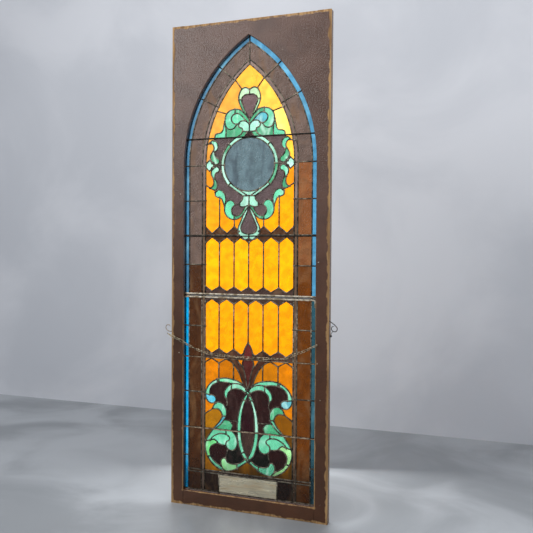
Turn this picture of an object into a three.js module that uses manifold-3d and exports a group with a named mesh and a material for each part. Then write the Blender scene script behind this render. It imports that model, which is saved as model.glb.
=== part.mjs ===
// Leaded stained glass lancet window in a painted wooden sash.
// Millimetres, +Z up, the front faces -Y, the origin is under the middle of the bottom rail.
import * as THREE from 'three';
import { mergeVertices } from 'three/addons/utils/BufferGeometryUtils.js';
import Module from 'manifold-3d';

const wasm = await Module();
wasm.setup();

// ---------------------------------------------------------------- driving dimensions
const SASH_WIDTH = 780;
const SASH_HEIGHT = 2300;
const SASH_DEPTH = 35;
const EDGE_BEVEL = 4;

const SIGHT = 327.5;            // half width of the glazed opening
const SILL = 70;                // top of the bottom rail
const SPRING = 1639;            // height where the arch springs
const ARCH_SHIFT = 364;         // how far the arch centres lie past the middle
const GROOVE_DEPTH = 7;         // how far the leaded panels enter the wood
const GROOVE_SLACK = 0.8;

const GLASS = 3;
const CAME_FACE = 6;            // width of the lead seen on either face
const CAME_DEPTH = 8;
const FLANGE = 2.2;             // thickness of one face of a came
const GAP = 0.3;

const BLUE_LINE = 304;          // half widths of the border cames, all concentric
const FILLET_OUTER = 237;
const FILLET_INNER = 220;
const COLUMNS = [0, 73, 148];   // upright cames between the quarries
const TIPS = [37, 110, 186];    // middles of the quarries

const UPPER_FOOT = 1027;        // lowest glass of the upper panel
const MEETING = 1015.5;         // where the two leaded panels meet
const LOWER_HEAD = 1004;        // highest glass of the lower panel
const BARS = {                  // saddle bars: height and radius
  top: { z: 1760, r: 3.5 },
  upper: { z: 1298, r: 3.5 },
  middle: { z: 719, r: 2.7 },
  lower: { z: 377, r: 2.9 },
};

const RING_CENTRE = 1633;
const RIM_RADIUS = 125;
const RING_RADIUS = 142;

// ---------------------------------------------------------------- lines in the plane of the glass
const mirror = (points) => points.map(([x, z]) => [-x, z]);

// Drops the points of a line that lie nearer than a tolerance to its chords.
function thin(points, tolerance) {
  const [a, b] = [points[0], points[points.length - 1]];
  const length = Math.hypot(b[0] - a[0], b[1] - a[1]) || 1e-9;
  let far = 0;
  let index = 0;
  points.forEach(([x, z], i) => {
    const off = Math.abs((b[0] - a[0]) * (z - a[1]) - (b[1] - a[1]) * (x - a[0])) / length;
    if (off > far) {
      far = off;
      index = i;
    }
  });
  if (far <= tolerance) {
    return [a, b];
  }
  return [...thin(points.slice(0, index + 1), tolerance).slice(0, -1), ...thin(points.slice(index), tolerance)];
}

// A came bent by hand: a smooth curve through its setting-out points.
function bent(points, tolerance = 2) {
  const knots = points.map(([x, z]) => new THREE.Vector3(x, z, 0));
  const curve = new THREE.CatmullRomCurve3(knots, false, 'centripetal');
  const fine = curve.getPoints(points.length * 8).map((p) => [p.x, p.y]);
  return thin(fine, tolerance);
}

// An arc about a point, from one angle to another, in degrees.
function arc(x, z, radius, from, to, step = 15) {
  const count = Math.max(2, Math.ceil(Math.abs(to - from) / step));
  return Array.from({ length: count + 1 }, (_, i) => {
    const angle = THREE.MathUtils.degToRad(from + ((to - from) * i) / count);
    return [x + radius * Math.cos(angle), z + radius * Math.sin(angle)];
  });
}

// Height of the point of an arch line of the given half width.
const apex = (half) => SPRING + Math.sqrt((ARCH_SHIFT + half) ** 2 - ARCH_SHIFT ** 2);

// The right side of an arch line, from its foot to just short of the point.
function archSide(half, foot) {
  const top = THREE.MathUtils.radToDeg(Math.acos(ARCH_SHIFT / (ARCH_SHIFT + half)));
  return [[half, foot], ...arc(-ARCH_SHIFT, SPRING, ARCH_SHIFT + half, 0, top, 6.5).slice(0, -1)];
}

// The whole arch line, up one side and down the other.
function archLine(half, foot) {
  const side = archSide(half, foot);
  return [...side, [0, apex(half)], ...mirror(side).reverse()];
}

// ---------------------------------------------------------------- solids
function outline(points, holes = []) {
  const ring = points.map(([x, z]) => new THREE.Vector2(x, z));
  const shape = new THREE.Shape(THREE.ShapeUtils.isClockWise(ring) ? ring.reverse() : ring);
  shape.holes = holes.map((hole) => new THREE.Path(hole.map(([x, z]) => new THREE.Vector2(x, z))));
  return shape;
}

const rectangle = (x0, z0, x1, z1) => outline([[x0, z0], [x1, z0], [x1, z1], [x0, z1]]);

// A shape drawn in the plane of the glass, given thickness from front to back.
function slab(shape, front, back) {
  const geometry = new THREE.ExtrudeGeometry(shape, { depth: back - front, bevelEnabled: false });
  geometry.rotateX(Math.PI / 2);
  geometry.translate(0, back, 0);
  return solid(geometry);
}

function solid(geometry) {
  const bare = geometry.clone();
  bare.deleteAttribute('normal');
  bare.deleteAttribute('uv');
  const merged = mergeVertices(bare, 1e-4);
  const mesh = new wasm.Mesh({
    numProp: 3,
    vertProperties: new Float32Array(merged.attributes.position.array),
    triVerts: new Uint32Array(merged.index.array),
  });
  return new wasm.Manifold(mesh);
}

const joined = (solids) => wasm.Manifold.union(solids).asOriginal();

function geometryOf(body) {
  const mesh = body.getMesh();
  const geometry = new THREE.BufferGeometry();
  geometry.setAttribute('position', new THREE.BufferAttribute(mesh.vertProperties, 3));
  geometry.setIndex(new THREE.BufferAttribute(mesh.triVerts, 1));
  geometry.computeVertexNormals();
  return geometry;
}

// The strip that a came of the given width covers along its line.
function strip(line, width) {
  const closed = Math.hypot(line[0][0] - line.at(-1)[0], line[0][1] - line.at(-1)[1]) < 0.01;
  const points = closed ? line.slice(0, -1) : line;
  const count = points.length;
  const unit = (a, b) => {
    const length = Math.hypot(b[0] - a[0], b[1] - a[1]);
    return [(b[0] - a[0]) / length, (b[1] - a[1]) / length];
  };
  const side = (sign) => points.map(([x, z], i) => {
    const before = points[(i + count - 1) % count];
    const after = points[(i + 1) % count];
    const into = closed || i > 0 ? unit(before, points[i]) : unit(points[i], after);
    const out = closed || i < count - 1 ? unit(points[i], after) : into;
    const sum = [into[0] + out[0], into[1] + out[1]];
    const mitre = Math.min(2 / (sum[0] ** 2 + sum[1] ** 2), 1.2);
    const reach = (sign * width * mitre) / 2;
    return [x - sum[1] * reach, z + sum[0] * reach];
  });
  if (closed) {
    const [a, b] = [side(1), side(-1)];
    const area = (ring) => Math.abs(THREE.ShapeUtils.area(ring.map(([x, z]) => new THREE.Vector2(x, z))));
    return area(a) > area(b) ? outline(a, [b]) : outline(b, [a]);
  }
  return outline([...side(1), ...side(-1).reverse()]);
}


// ---------------------------------------------------------------- cames
// A came between two kinds of glass runs the full depth of the panel as a wall. Where it crosses one
// kind of glass it is a front face only, because those panes are one body here.
const lead = { upper: { walls: [], faces: [], fills: [] }, lower: { walls: [], faces: [], fills: [] } };

const both = (line) => [line, mirror(line)];

function wall(panel, ...lines) {
  lead[panel].walls.push(...lines);
}

function face(panel, ...lines) {
  lead[panel].faces.push(...lines);
}

// Borders: three concentric lines in each panel, and the short cames across them.
for (const half of [BLUE_LINE, FILLET_OUTER, FILLET_INNER]) {
  wall('upper', archLine(half, MEETING));
  wall('lower', ...both([[half, MEETING], [half, SILL]]));
}
wall('upper', ...both([[118, BARS.top.z], [175, BARS.top.z]]));

// Rows of quarries: zigzag lines between amber and brown, upright cames between the ambers.
const [C0, C1, C2] = COLUMNS;
const [T0, T1, T2] = TIPS;
const zigzag = (shoulder, tip) => [
  [C0, shoulder], [T0, tip], [C1, shoulder], [T1, tip], [C2, shoulder], [T2, tip], [FILLET_INNER, shoulder],
];
const wholeRow = (shoulder, tip) => [...mirror(zigzag(shoulder, tip)).reverse(), ...zigzag(shoulder, tip).slice(1)];
wall('upper', ...both([[49, 1321], ...zigzag(1343, 1311).slice(2)]));
wall('upper', wholeRow(1267, 1295), wholeRow(1059, 1037));
wall('lower', wholeRow(978, 996));
wall('lower', ...both([[24, 746], ...zigzag(764, 736).slice(1)]));
wall('lower', ...both([[T1, 720], [C2, 695], [T2, 720], [FILLET_INNER, 695]]));
for (const x of [C1, C2]) {
  face('upper', ...both([[x, 1267], [x, 1059]]), ...both([[x, 1343], [x, x === C1 ? 1378 : 1482]]));
  face('lower', ...both([[x, 978], [x, 764]]), ...both([[x, x === C1 ? 692 : 695], [x, 621]]));
}
face('upper', [[0, 1267], [0, 1059]]);
face('lower', [[0, 978], [0, 800]]);
face('lower', ...both([[T1, 736], [T1, 720]]), ...both([[T2, 736], [T2, 720]]));

// Amber field round the upper ornament.
face('upper', ...both([[71, 2027], [39, 1984]]), ...both([[168, 1890], [115, 1873]]));
face('upper', ...both([[219, 1733], [196, 1738]]), ...both([[220, 1541], [197, 1527]]));

// Top of the upper ornament: heart, scroll, leaf and foot.
wall('upper', ...both(bent([[0, 1980], [22, 1989], [40, 1981], [51, 1960], [54, 1938], [50, 1918], [30, 1876]])));
wall('upper', ...both(bent([[0, 1957], [20, 1956], [35, 1946], [40, 1930], [33, 1908], [12, 1862], [0, 1841]])));
face('upper', [[0, 1957], [0, 1980]]);
wall('upper', ...both(bent([[30, 1875], [46, 1887], [70, 1892], [100, 1885], [118, 1866], [124, 1838]])));
face('upper', ...both(bent([[0, 1838], [14, 1857], [30, 1875]])), ...both([[124, 1838], [119, 1815]]));
wall('upper', ...both(bent([[119, 1815], [108, 1803], [93, 1799], [76, 1805], [65, 1820]])));
wall('upper', ...both(bent([
  [65, 1820], [80, 1828], [89, 1840], [89, 1856], [76, 1869], [58, 1871], [42, 1862], [28, 1848], [17, 1834],
])));
face('upper', ...both([[17, 1834], [0, 1818]]), ...both([[64, 1821], [51, 1825]]));
wall('upper', ...both(bent([[17, 1834], [32, 1836], [46, 1832], [54, 1819], [49, 1806], [36, 1800], [33, 1787]])));
face('upper', [[0, 1783], [0, 1840]], ...both([[0, 1783], [33, 1787]]));
wall('upper', ...both([[33, 1787], [39, 1776], [54, 1764]]), ...both([[9, 1784], [22, 1764], [25, 1756]]));
wall('upper', ...both(bent([[124, 1838], [130, 1815], [133, 1798], [143, 1786], [160, 1783], [171, 1778], [175, 1760]])));
wall('upper', ...both(bent([[119, 1815], [117, 1790], [119, 1760]])));
lead.upper.fills.push([[-14, 1786], [14, 1786], [26, 1756], [-26, 1756]]);

// Medallion and its ring.
const fromRing = (radius, from, to) => arc(0, RING_CENTRE, radius, from, to, 18);
wall('upper', [...fromRing(RIM_RADIUS, 0, 360).slice(0, -1), [RIM_RADIUS, RING_CENTRE]]);
wall('upper', ...both([...fromRing(RING_RADIUS, 67.5, -40), [100, 1535], [60, 1506], [30, 1486]]));
wall('upper', ...both([[56, 1521], [40, 1509], [14, 1491]]));
lead.upper.fills.push([[-54, 1523], [54, 1523], [12, 1489], [-12, 1489]]);

// Crescents, diamonds and leaves down the sides of the ring.
wall('upper', ...both(bent([
  [175, 1697], [162, 1707], [158, 1722], [163, 1740], [175, 1750], [190, 1750], [198, 1741],
])));
wall('upper', ...both(bent([[198, 1741], [186, 1734], [179, 1722], [179, 1708], [188, 1694], [196, 1676], [194, 1660]])));
wall('upper', ...both(bent([
  [175, 1697], [172, 1680], [163, 1668], [152, 1660], [151, 1646], [161, 1638], [176, 1640], [194, 1660],
])));
face('upper', ...both([[175, 1697], [181, 1701]]), ...both([[RING_RADIUS, RING_CENTRE], [178, RING_CENTRE]]));
wall('upper', ...both([[220, 1641], [201, 1659], [178, 1633], [201, 1607], [220, 1625]]));
wall('upper', ...both(bent([[173, 1571], [173, 1586], [168, 1597], [155, 1603], [150, 1615], [163, 1627], [179, 1622]])));
wall('upper', ...both(bent([[179, 1622], [191, 1606], [191, 1590], [181, 1571], [179, 1548], [185, 1534], [198, 1526]])));
wall('upper', ...both(bent([[173, 1571], [164, 1556], [160, 1540], [163, 1525], [174, 1517], [198, 1526]])));
face('upper', ...both([[173, 1571], [181, 1571]]));
wall('upper', ...both([[174, 1517], [164, 1512]]), ...both([[175, 1760], [178, 1750]]));
wall('upper', ...both([[181, 1646], [188, 1643]]), ...both([[181, 1620], [189, 1622]]));
wall('upper', ...both(bent([[123, 1438], [118, 1462], [118, 1482], [126, 1502], [142, 1515], [158, 1516], [171, 1506]])));
wall('upper', ...both(bent([[171, 1506], [170, 1490], [157, 1482], [140, 1477], [132, 1462], [123, 1438]])));

// Foot of the upper ornament: leaf, scroll and teardrop.
face('upper', [[0, 1440], [0, 1487]], ...both([[0, 1487], [30, 1486]]));
wall('upper', ...both(bent([[30, 1486], [33, 1470], [47, 1452], [44, 1438], [22, 1435]])));
face('upper', ...both([[22, 1435], [0, 1444]]), ...both([[48, 1448], [69, 1445]]));
face('upper', ...both(bent([[0, 1440], [14, 1421], [27, 1402]])));
wall('upper', ...both(bent([
  [27, 1402], [45, 1385], [65, 1377], [86, 1378], [107, 1389], [121, 1410], [123, 1432], [115, 1456],
  [98, 1467], [80, 1462], [69, 1445],
])));
wall('upper', ...both(bent([[69, 1445], [82, 1434], [87, 1418], [80, 1399], [64, 1393], [46, 1399], [32, 1414], [22, 1435]])));
wall('upper', ...both(bent([[27, 1402], [40, 1368], [52, 1342], [55, 1320], [46, 1297], [28, 1283], [12, 1282], [0, 1289]])));
wall('upper', ...both(bent([[0, 1432], [13, 1400], [33, 1358], [40, 1338], [34, 1319], [18, 1310], [0, 1307]])));
face('upper', [[0, 1289], [0, 1307]]);
lead.upper.fills.push([[-32, 1287], [32, 1287], [0, 1267]]);

// Fleur below the third row.
wall('lower', ...both(bent([[0, 800], [12, 780], [22, 752], [23, 719], [28, 700], [25, 682], [15, 650], [6, 600], [0, 582]])));
wall('lower', ...both(bent([[T1, 721], [80, 701], [65, 686], [50, 665], [35, 635], [25, 605], [20, 592]])));

// Upper half of the lower ornament: the large scrolls that cross, arch, curl and leaf.
wall('lower', ...both(bent([
  [0, 572], [8, 581], [22, 597], [45, 612], [75, 621], [110, 625], [145, 621], [175, 608], [198, 588], [213, 562],
  [217, 543], [212, 521], [200, 506], [185, 501], [168, 506], [162, 520], [167, 533], [180, 540], [195, 540],
])));
wall('lower', ...both(bent([[195, 540], [194, 562], [186, 580], [170, 594], [145, 604], [110, 605], [82, 601]])));
face('lower', ...both([[195, 540], [217, 543]]));
face('lower', ...both(bent([[4, 574], [20, 590], [40, 600], [60, 603], [82, 601]])), ...both([[82, 601], [84, 571]]));
wall('lower', ...both(bent([[8, 557], [30, 572], [50, 578], [70, 577], [84, 571]])));
wall('lower', ...both(bent([[82, 601], [104, 583], [118, 562], [119, 542], [105, 520]])));
wall('lower', ...both(bent([[84, 571], [98, 558], [104, 542], [105, 520]])));
face('lower', ...both([[105, 520], [103, 502], [112, 486]]), ...both([[219, 447], [178, 476]]));
wall('lower', ...both(bent([
  [109, 443], [108, 468], [114, 488], [127, 502], [147, 508], [164, 503], [178, 476], [152, 475], [137, 464],
  [128, 443],
])));
wall('lower', ...both([[168, 506], [163, 503]]));
face('lower', ...both([[109, 443], [128, 443]]), ...both([[118, 427], [136, 405], [166, 378]]));
wall('lower', ...both([[109, 443], [118, 427]]), ...both(bent([[128, 443], [140, 420], [158, 398], [176, 378]])));
wall('lower', ...both([[118, 427], [90, 424], [75, 404], [83, 378]]));
face('lower', ...both([[52, 424], [90, 424]]));

// Lower half of the lower ornament: the round scrolls, comma leaves and lower leaves.
wall('lower', ...both(bent([
  [176, 378], [191, 355], [205, 335], [216, 310], [217, 283], [210, 255], [197, 231], [176, 208], [152, 192],
  [122, 182], [92, 184], [62, 195], [33, 214], [0, 238],
])));
wall('lower', ...both(bent([[110, 358], [140, 358], [163, 349], [180, 337], [192, 321]])));
wall('lower', ...both(bent([
  [192, 321], [170, 327], [153, 312], [172, 303], [188, 291], [194, 270], [187, 245], [168, 222], [133, 202],
])));
face('lower', ...both([[192, 321], [214, 317]]), ...both([[133, 202], [115, 182]]));
wall('lower', ...both(bent([
  [133, 202], [135, 228], [126, 241], [112, 243], [104, 228], [90, 220], [60, 219], [35, 229], [12, 248],
])));
wall('lower', ...both(bent([
  [83, 378], [66, 363], [54, 340], [53, 312], [63, 291], [82, 283], [100, 288], [110, 302], [107, 322],
  [94, 332], [92, 344], [110, 358],
])));
face('lower', ...both([[110, 358], [110, 378]]), ...both([[111, 303], [135, 305], [154, 312]]));
wall('lower', ...both([[101, 288], [105, 264], [112, 243]]));

// Vesica: two long bands that cross above and below.
wall('lower', ...both(bent([[0, 549], [14, 520], [27, 475], [33, 425], [34, 375], [28, 325], [16, 285], [0, 252]])));
wall('lower', ...both(bent([[8, 557], [24, 530], [40, 485], [51, 430], [53, 378], [50, 338], [42, 300], [28, 265], [12, 248]])));
face('lower', [[-10, 578], [10, 563]], [[-10, 565], [6, 549]]);
face('lower', [[-12, 248], [4, 236]], [[0, 252], [12, 241]]);

// Bottom row: one wide strip of lead above the opal and the squares.
face('lower', ...both([[FILLET_INNER, 169], [BLUE_LINE, 169]]));
lead.lower.fills.push([[-FILLET_INNER, 160], [FILLET_INNER, 160], [FILLET_INNER, 178], [-FILLET_INNER, 178]]);
wall('lower', ...both([[146, 165], [146, SILL]]));

// Panes of one colour that only touch at their leads are one body, joined under the lead by a neck.
const NECK = 2;
const necks = {
  upper: [
    ...both([[166, 1770], [175, 1760], [178, 1750], [178, 1741]]),
    ...both([[172, 1653], [181, 1646], [188, 1643], [198, 1637]]),
    ...both([[198, 1630], [189, 1622], [181, 1620], [172, 1611]]),
    ...both([[175, 1530], [174, 1517], [164, 1512], [156, 1502]]),
    ...both([[125, 1472], [124, 1450], [122, 1440], [106, 1432]]),
  ],
  lower: [],
};

// ---------------------------------------------------------------- panels and leadwork
const panelEdge = SIGHT + GROOVE_DEPTH;
const edgeCame = SIGHT - 1;     // inner edge of the came round each panel
const sillLead = SILL + 10;
const upperEdge = archLine(panelEdge, MEETING + GAP / 2);
const upperSight = archLine(edgeCame, UPPER_FOOT);
const lowerEdge = [
  [-panelEdge, SILL - GROOVE_DEPTH], [panelEdge, SILL - GROOVE_DEPTH],
  [panelEdge, MEETING - GAP / 2], [-panelEdge, MEETING - GAP / 2],
];
const lowerSight = [[-edgeCame, sillLead], [edgeCame, sillLead], [edgeCame, LOWER_HEAD], [-edgeCame, LOWER_HEAD]];
const half = CAME_DEPTH / 2;

function leadwork(panel, edge, sight) {
  const { walls, faces, fills } = lead[panel];
  const rim = slab(outline(edge, [sight]), -half, half);
  const deep = walls.map((line) => slab(strip(line, CAME_FACE), -half, half));
  const filled = fills.map((points) => slab(outline(points), -half, half));
  const shallow = faces.map((line) => slab(strip(line, CAME_FACE), -half, -half + FLANGE));
  const bounds = slab(outline(edge), -half, half);
  const slots = necks[panel].map((line) => slab(strip(line, NECK + 2 * GAP), -GLASS / 2 - GAP, GLASS / 2 + GAP));
  const lines = joined([rim, ...deep, ...filled, ...shallow]).intersect(bounds);
  return lines.subtract(joined(slots)).asOriginal().simplify(0.1);
}

// The panes: the glazed area less the walls of lead and a gap along them.
function panes(panel, sight) {
  const { walls, fills } = lead[panel];
  const inset = slab(outline(sight), -GLASS / 2, GLASS / 2);
  const rim = slab(strip([...sight, sight[0]], 2 * GAP), -GLASS, GLASS);
  const cuts = walls.map((line) => slab(strip(line, CAME_FACE + 2 * GAP), -GLASS, GLASS));
  const grown = fills.map((points) => slab(strip([...points, points[0]], 2 * GAP), -GLASS, GLASS));
  const solids = fills.map((points) => slab(outline(points), -GLASS, GLASS));
  const bridges = necks[panel].map((line) => slab(strip(line, NECK), -GLASS / 2, GLASS / 2));
  const cut = inset.subtract(joined([rim, ...cuts, ...grown, ...solids]));
  return joined([cut, ...bridges]).simplify(0.05).decompose();
}

function holds(body, [x, z]) {
  const { vertProperties: at, triVerts } = body.getMesh();
  const inside = (a, b, c) => {
    const turn = (p, q) => (at[3 * q] - at[3 * p]) * (z - at[3 * p + 2]) - (at[3 * q + 2] - at[3 * p + 2]) * (x - at[3 * p]);
    const signs = [turn(a, b), turn(b, c), turn(c, a)];
    return signs.every((side) => side > 0) || signs.every((side) => side < 0);
  };
  for (let i = 0; i < triVerts.length; i += 3) {
    if (inside(triVerts[i], triVerts[i + 1], triVerts[i + 2])) {
      return true;
    }
  }
  return false;
}

// ---------------------------------------------------------------- finishes
const finish = (color, roughness, metalness = 0) => new THREE.MeshStandardMaterial({ color, roughness, metalness });
const pane = (color) => new THREE.MeshStandardMaterial({ color, roughness: 0.25, transparent: true, opacity: 0.8 });
const finishes = {
  paint: finish(0x54382a, 0.35),
  lead: finish(0x45443f, 0.6, 0.7),
  iron: finish(0x1d1b19, 0.6, 0.6),
  zinc: finish(0xcfc3ae, 0.5, 0.5),
  brass: finish(0x8a7a58, 0.45, 0.8),
  blue: pane(0x3f93b8),
  brown: pane(0x5a3a22),
  fillet: pane(0xa98f7c),
  amber: pane(0xd99a0c),
  green: pane(0x8fd8b4),
  grey: pane(0x6a7c7e),
  ground: pane(0x6b5a58),
  burgundy: pane(0x32181a),
  dark: pane(0x16140f),
  opal: pane(0xd8d2b8),
};

const window = new THREE.Group();

function add(name, body, material) {
  const mesh = new THREE.Mesh(geometryOf(body), material);
  mesh.name = name;
  window.add(mesh);
}

// ---------------------------------------------------------------- glass
// Each kind of pane, with a point that lies in it. A pair of points makes a left and a right body.
const glass = {
  upper: {
    blue_border_upper: ['blue', [315, 1400]],
    brown_border_upper: ['brown', [270, 1400]],
    fillet_upper: ['fillet', [228, 1400]],
    amber_field_top: ['amber', [5, 2040]],
    amber_row_one: ['amber', [186, 1450], 'pair'],
    amber_row_two: ['amber', [30, 1150]],
    brown_quarries: ['brown', [148, 1303], 'pair'],
    brown_quarries_above_rail: ['brown', [73, 1045]],
    green_ornament_upper: ['green', [5, 1800]],
    medallion: ['grey', [5, RING_CENTRE]],
    teardrop_top: ['ground', [4, 1920]],
    teardrop_bottom: ['ground', [4, 1350]],
    purple_ground: ['ground', [150, 1700], 'pair'],
  },
  lower: {
    blue_border_lower: ['blue', [315, 700], 'pair'],
    brown_border_lower: ['brown', [270, 700], 'pair'],
    fillet_lower: ['fillet', [228, 700], 'pair'],
    brown_quarries_below_rail: ['brown', [73, 990]],
    amber_row_three: ['amber', [30, 850]],
    amber_row_four: ['amber', [120, 670], 'pair'],
    brown_quarries_and_leaves: ['brown', [150, 728]],
    fleur: ['brown', [0, 700]],
    amber_side: ['amber', [200, 440], 'pair'],
    amber_corner: ['amber', [212, 192], 'pair'],
    amber_wedge: ['amber', [0, 195]],
    green_ornament_lower: ['green', [42, 430]],
    vesica: ['burgundy', [0, 400]],
    burgundy_ground: ['burgundy', [80, 540], 'pair'],
    burgundy_scroll: ['burgundy', [150, 260], 'pair'],
    dark_ground: ['dark', [80, 250], 'pair'],
    opal_panel: ['opal', [5, 112]],
    brown_square: ['brown', [185, 120], 'pair'],
  },
};

for (const [panel, sight] of [['upper', upperSight], ['lower', lowerSight]]) {
  const bodies = panes(panel, sight);
  for (const [name, [colour, [x, z], pair]] of Object.entries(glass[panel])) {
    const spots = pair ? { [`${name}_left`]: [-x, z], [`${name}_right`]: [x, z] } : { [name]: [x, z] };
    for (const [node, spot] of Object.entries(spots)) {
      add(node, bodies.find((body) => holds(body, spot)), finishes[colour]);
    }
  }
}
add('upper_leadwork', leadwork('upper', upperEdge, upperSight), finishes.lead);
add('lower_leadwork', leadwork('lower', lowerEdge, lowerSight), finishes.lead);

// ---------------------------------------------------------------- rails over the meeting of the panels
const RAIL = { height: 7, front: -half - GAP - 3.2, back: -half - GAP };
const railEnd = SIGHT - 1;
const railReturn = 35;          // the lower rail turns down beside the right stile
const upperRail = [[-railEnd, UPPER_FOOT - RAIL.height / 2], [railEnd, UPPER_FOOT - RAIL.height / 2]];
const lowerRailHeight = LOWER_HEAD + RAIL.height / 2;
const returnX = railEnd - RAIL.height / 2;
const lowerRail = [
  [-railEnd, lowerRailHeight],
  ...arc(returnX - 8, lowerRailHeight - 8, 8, 90, 0, 30),
  [returnX, lowerRailHeight - railReturn],
];
add('upper_rail', slab(strip(upperRail, RAIL.height), RAIL.front, RAIL.back), finishes.zinc);
add('lower_rail', slab(strip(lowerRail, RAIL.height), RAIL.front, RAIL.back), finishes.zinc);

// ---------------------------------------------------------------- saddle bars
const BAR_SOCKET = 8;           // how far a bar enters the wood
const sightAt = (z) => (z < SPRING ? SIGHT : Math.sqrt((ARCH_SHIFT + SIGHT) ** 2 - (z - SPRING) ** 2) - ARCH_SHIFT);

function rod(radius, length, x, y, z, axis, sides = 10) {
  const geometry = new THREE.CylinderGeometry(radius, radius, length, sides);
  if (axis === 'x') {
    geometry.rotateZ(Math.PI / 2);
  }
  geometry.translate(x, y, z);
  return solid(geometry);
}

const sockets = [];
for (const [name, { z, r }] of Object.entries(BARS)) {
  const y = -half - GAP - r;
  const length = 2 * (sightAt(z) + BAR_SOCKET);
  add(`saddle_bar_${name}`, rod(r, length, 0, y, z, 'x'), name === 'top' || name === 'upper' ? finishes.iron : finishes.zinc);
  sockets.push(rod(r + GAP, length + 2 * GAP, 0, y, z, 'x'));
}

// ---------------------------------------------------------------- hooks, screw and chain
const WIRE = 2.2;
const shankDepth = 22;

// Round wire bent along a path of points.
function wire(points, radius, steps, sides = 6) {
  const path = new THREE.CatmullRomCurve3(points.map((p) => new THREE.Vector3(...p)), false, 'centripetal');
  const section = new THREE.Shape(Array.from({ length: sides }, (_, i) => {
    const angle = (2 * Math.PI * i) / sides;
    return new THREE.Vector2(radius * Math.cos(angle), radius * Math.sin(angle));
  }));
  return solid(new THREE.ExtrudeGeometry(section, { steps, extrudePath: path, bevelEnabled: false }));
}

const edgeX = SASH_WIDTH / 2;
const hookY = -8;
const leftShank = 836;
const rightShank = 917;
const leftHook = wire([
  [-edgeX + shankDepth, hookY, leftShank], [-edgeX, hookY, leftShank], [-edgeX - 16, hookY, leftShank],
  [-edgeX - 30, hookY, leftShank + 6], [-edgeX - 37, hookY, leftShank + 18], [-edgeX - 30, hookY, leftShank + 31],
  [-edgeX - 17, hookY, leftShank + 31], [-edgeX - 13, hookY, leftShank + 24],
], WIRE, 20);
const rightWire = wire([
  [edgeX - shankDepth, hookY, rightShank], [edgeX, hookY, rightShank], [edgeX + 4, hookY, rightShank],
  [edgeX + 13, hookY, rightShank - 8],
  [edgeX + 27, hookY, rightShank - 19], [edgeX + 36, hookY, rightShank - 32], [edgeX + 31, hookY, rightShank - 44],
  [edgeX + 17, hookY, rightShank - 45], [edgeX + 9, hookY, rightShank - 34], [edgeX + 13, hookY, rightShank - 24],
  [edgeX + 22, hookY, rightShank - 23],
], WIRE, 24);
const ballWire = wire([
  [edgeX + 16, hookY, rightShank - 44], [edgeX + 9, hookY, rightShank - 52], [edgeX + 7, hookY, rightShank - 64],
], 1.4, 3);
const ball = solid(new THREE.IcosahedronGeometry(5.5, 1).translate(edgeX + 7, hookY, rightShank - 67));
add('left_hook', leftHook, finishes.brass);
add('right_hook', joined([rightWire, ballWire, ball]), finishes.iron);
const shankHoles = [[-1, leftShank], [1, rightShank]].map(([side, z]) => (
  rod(WIRE + GAP, 2 * shankDepth + 2, side * edgeX, hookY, z, 'x', 8)
));

const screw = { x: 337, z: 809, radius: 2, head: 5 };
const frontY = -SASH_DEPTH / 2;
const screwProfile = [[0, 0], [screw.radius, 0], [screw.radius, 24], [screw.head, 25.5], [screw.head, 27], [0, 28]];
const screwGeometry = new THREE.LatheGeometry(screwProfile.map(([r, y]) => new THREE.Vector2(r, y)), 10);
screwGeometry.rotateX(Math.PI);
screwGeometry.translate(screw.x, frontY + 10, screw.z);
add('chain_screw', solid(screwGeometry), finishes.zinc);
shankHoles.push(rod(screw.radius + GAP, 2 * 10 + 1, screw.x, frontY, screw.z, 'y', 10));

const LINK = { length: 31, width: 13, wire: 1.6 };
const pitch = LINK.length - 4 * LINK.wire + 1.4;   // the links pull into each other

// One link: a ring drawn out along X, its wire four-sided.
function link() {
  const ring = new THREE.TorusGeometry(LINK.width / 2 - LINK.wire, LINK.wire, 4, 6);
  const stretch = (LINK.length - LINK.width) / 2;
  const at = ring.attributes.position;
  for (let i = 0; i < at.count; i += 1) {
    at.setX(i, at.getX(i) + Math.sign(at.getX(i)) * stretch);
  }
  return ring;
}

// The chain hangs from the left hook, lies on the third saddle bar and ends on the screw.
const route = new THREE.CatmullRomCurve3([
  [-402, -20, 822], [-384, -26, 815], [-364, -27, 808], [-343, -26, 799], [-290, -20, 771], [-236, -15, 749],
  [-176, -13, 737], [-108, -13, 733], [-45, -13, 731], [42, -13, 731], [113, -13, 733], [181, -14, 737],
  [236, -19, 760], [296, -25, 787], [317, -26, 798],
].map((p) => new THREE.Vector3(...p)), false, 'centripetal');
const linkCount = Math.round(route.getLength() / pitch) + 1;
const links = Array.from({ length: linkCount }, (_, i) => {
  const share = i / (linkCount - 1);
  const along = route.getTangentAt(share);
  const across = new THREE.Vector3(0, 1, 0).cross(along).normalize();
  const up = along.clone().cross(across);
  const turn = new THREE.Matrix4().makeBasis(along, across, up);
  const roll = new THREE.Matrix4().makeRotationX((Math.PI / 4) * (i % 2 ? 1 : -1));
  const place = new THREE.Matrix4().setPosition(route.getPointAt(share));
  return solid(link().applyMatrix4(roll).applyMatrix4(turn).applyMatrix4(place));
});
add('chain', joined(links), finishes.brass);

// ---------------------------------------------------------------- wooden sash
const HEAD_JOINT = 1800;        // the head board sits on the shoulders of the stiles
const CHAMFER = 3;

function bevelled(shape, depth, bevel, back) {
  const geometry = new THREE.ExtrudeGeometry(shape, {
    depth, bevelThickness: bevel, bevelSize: bevel, bevelSegments: 1,
  });
  geometry.rotateX(Math.PI / 2);
  geometry.translate(0, back, 0);
  return solid(geometry);
}

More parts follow.
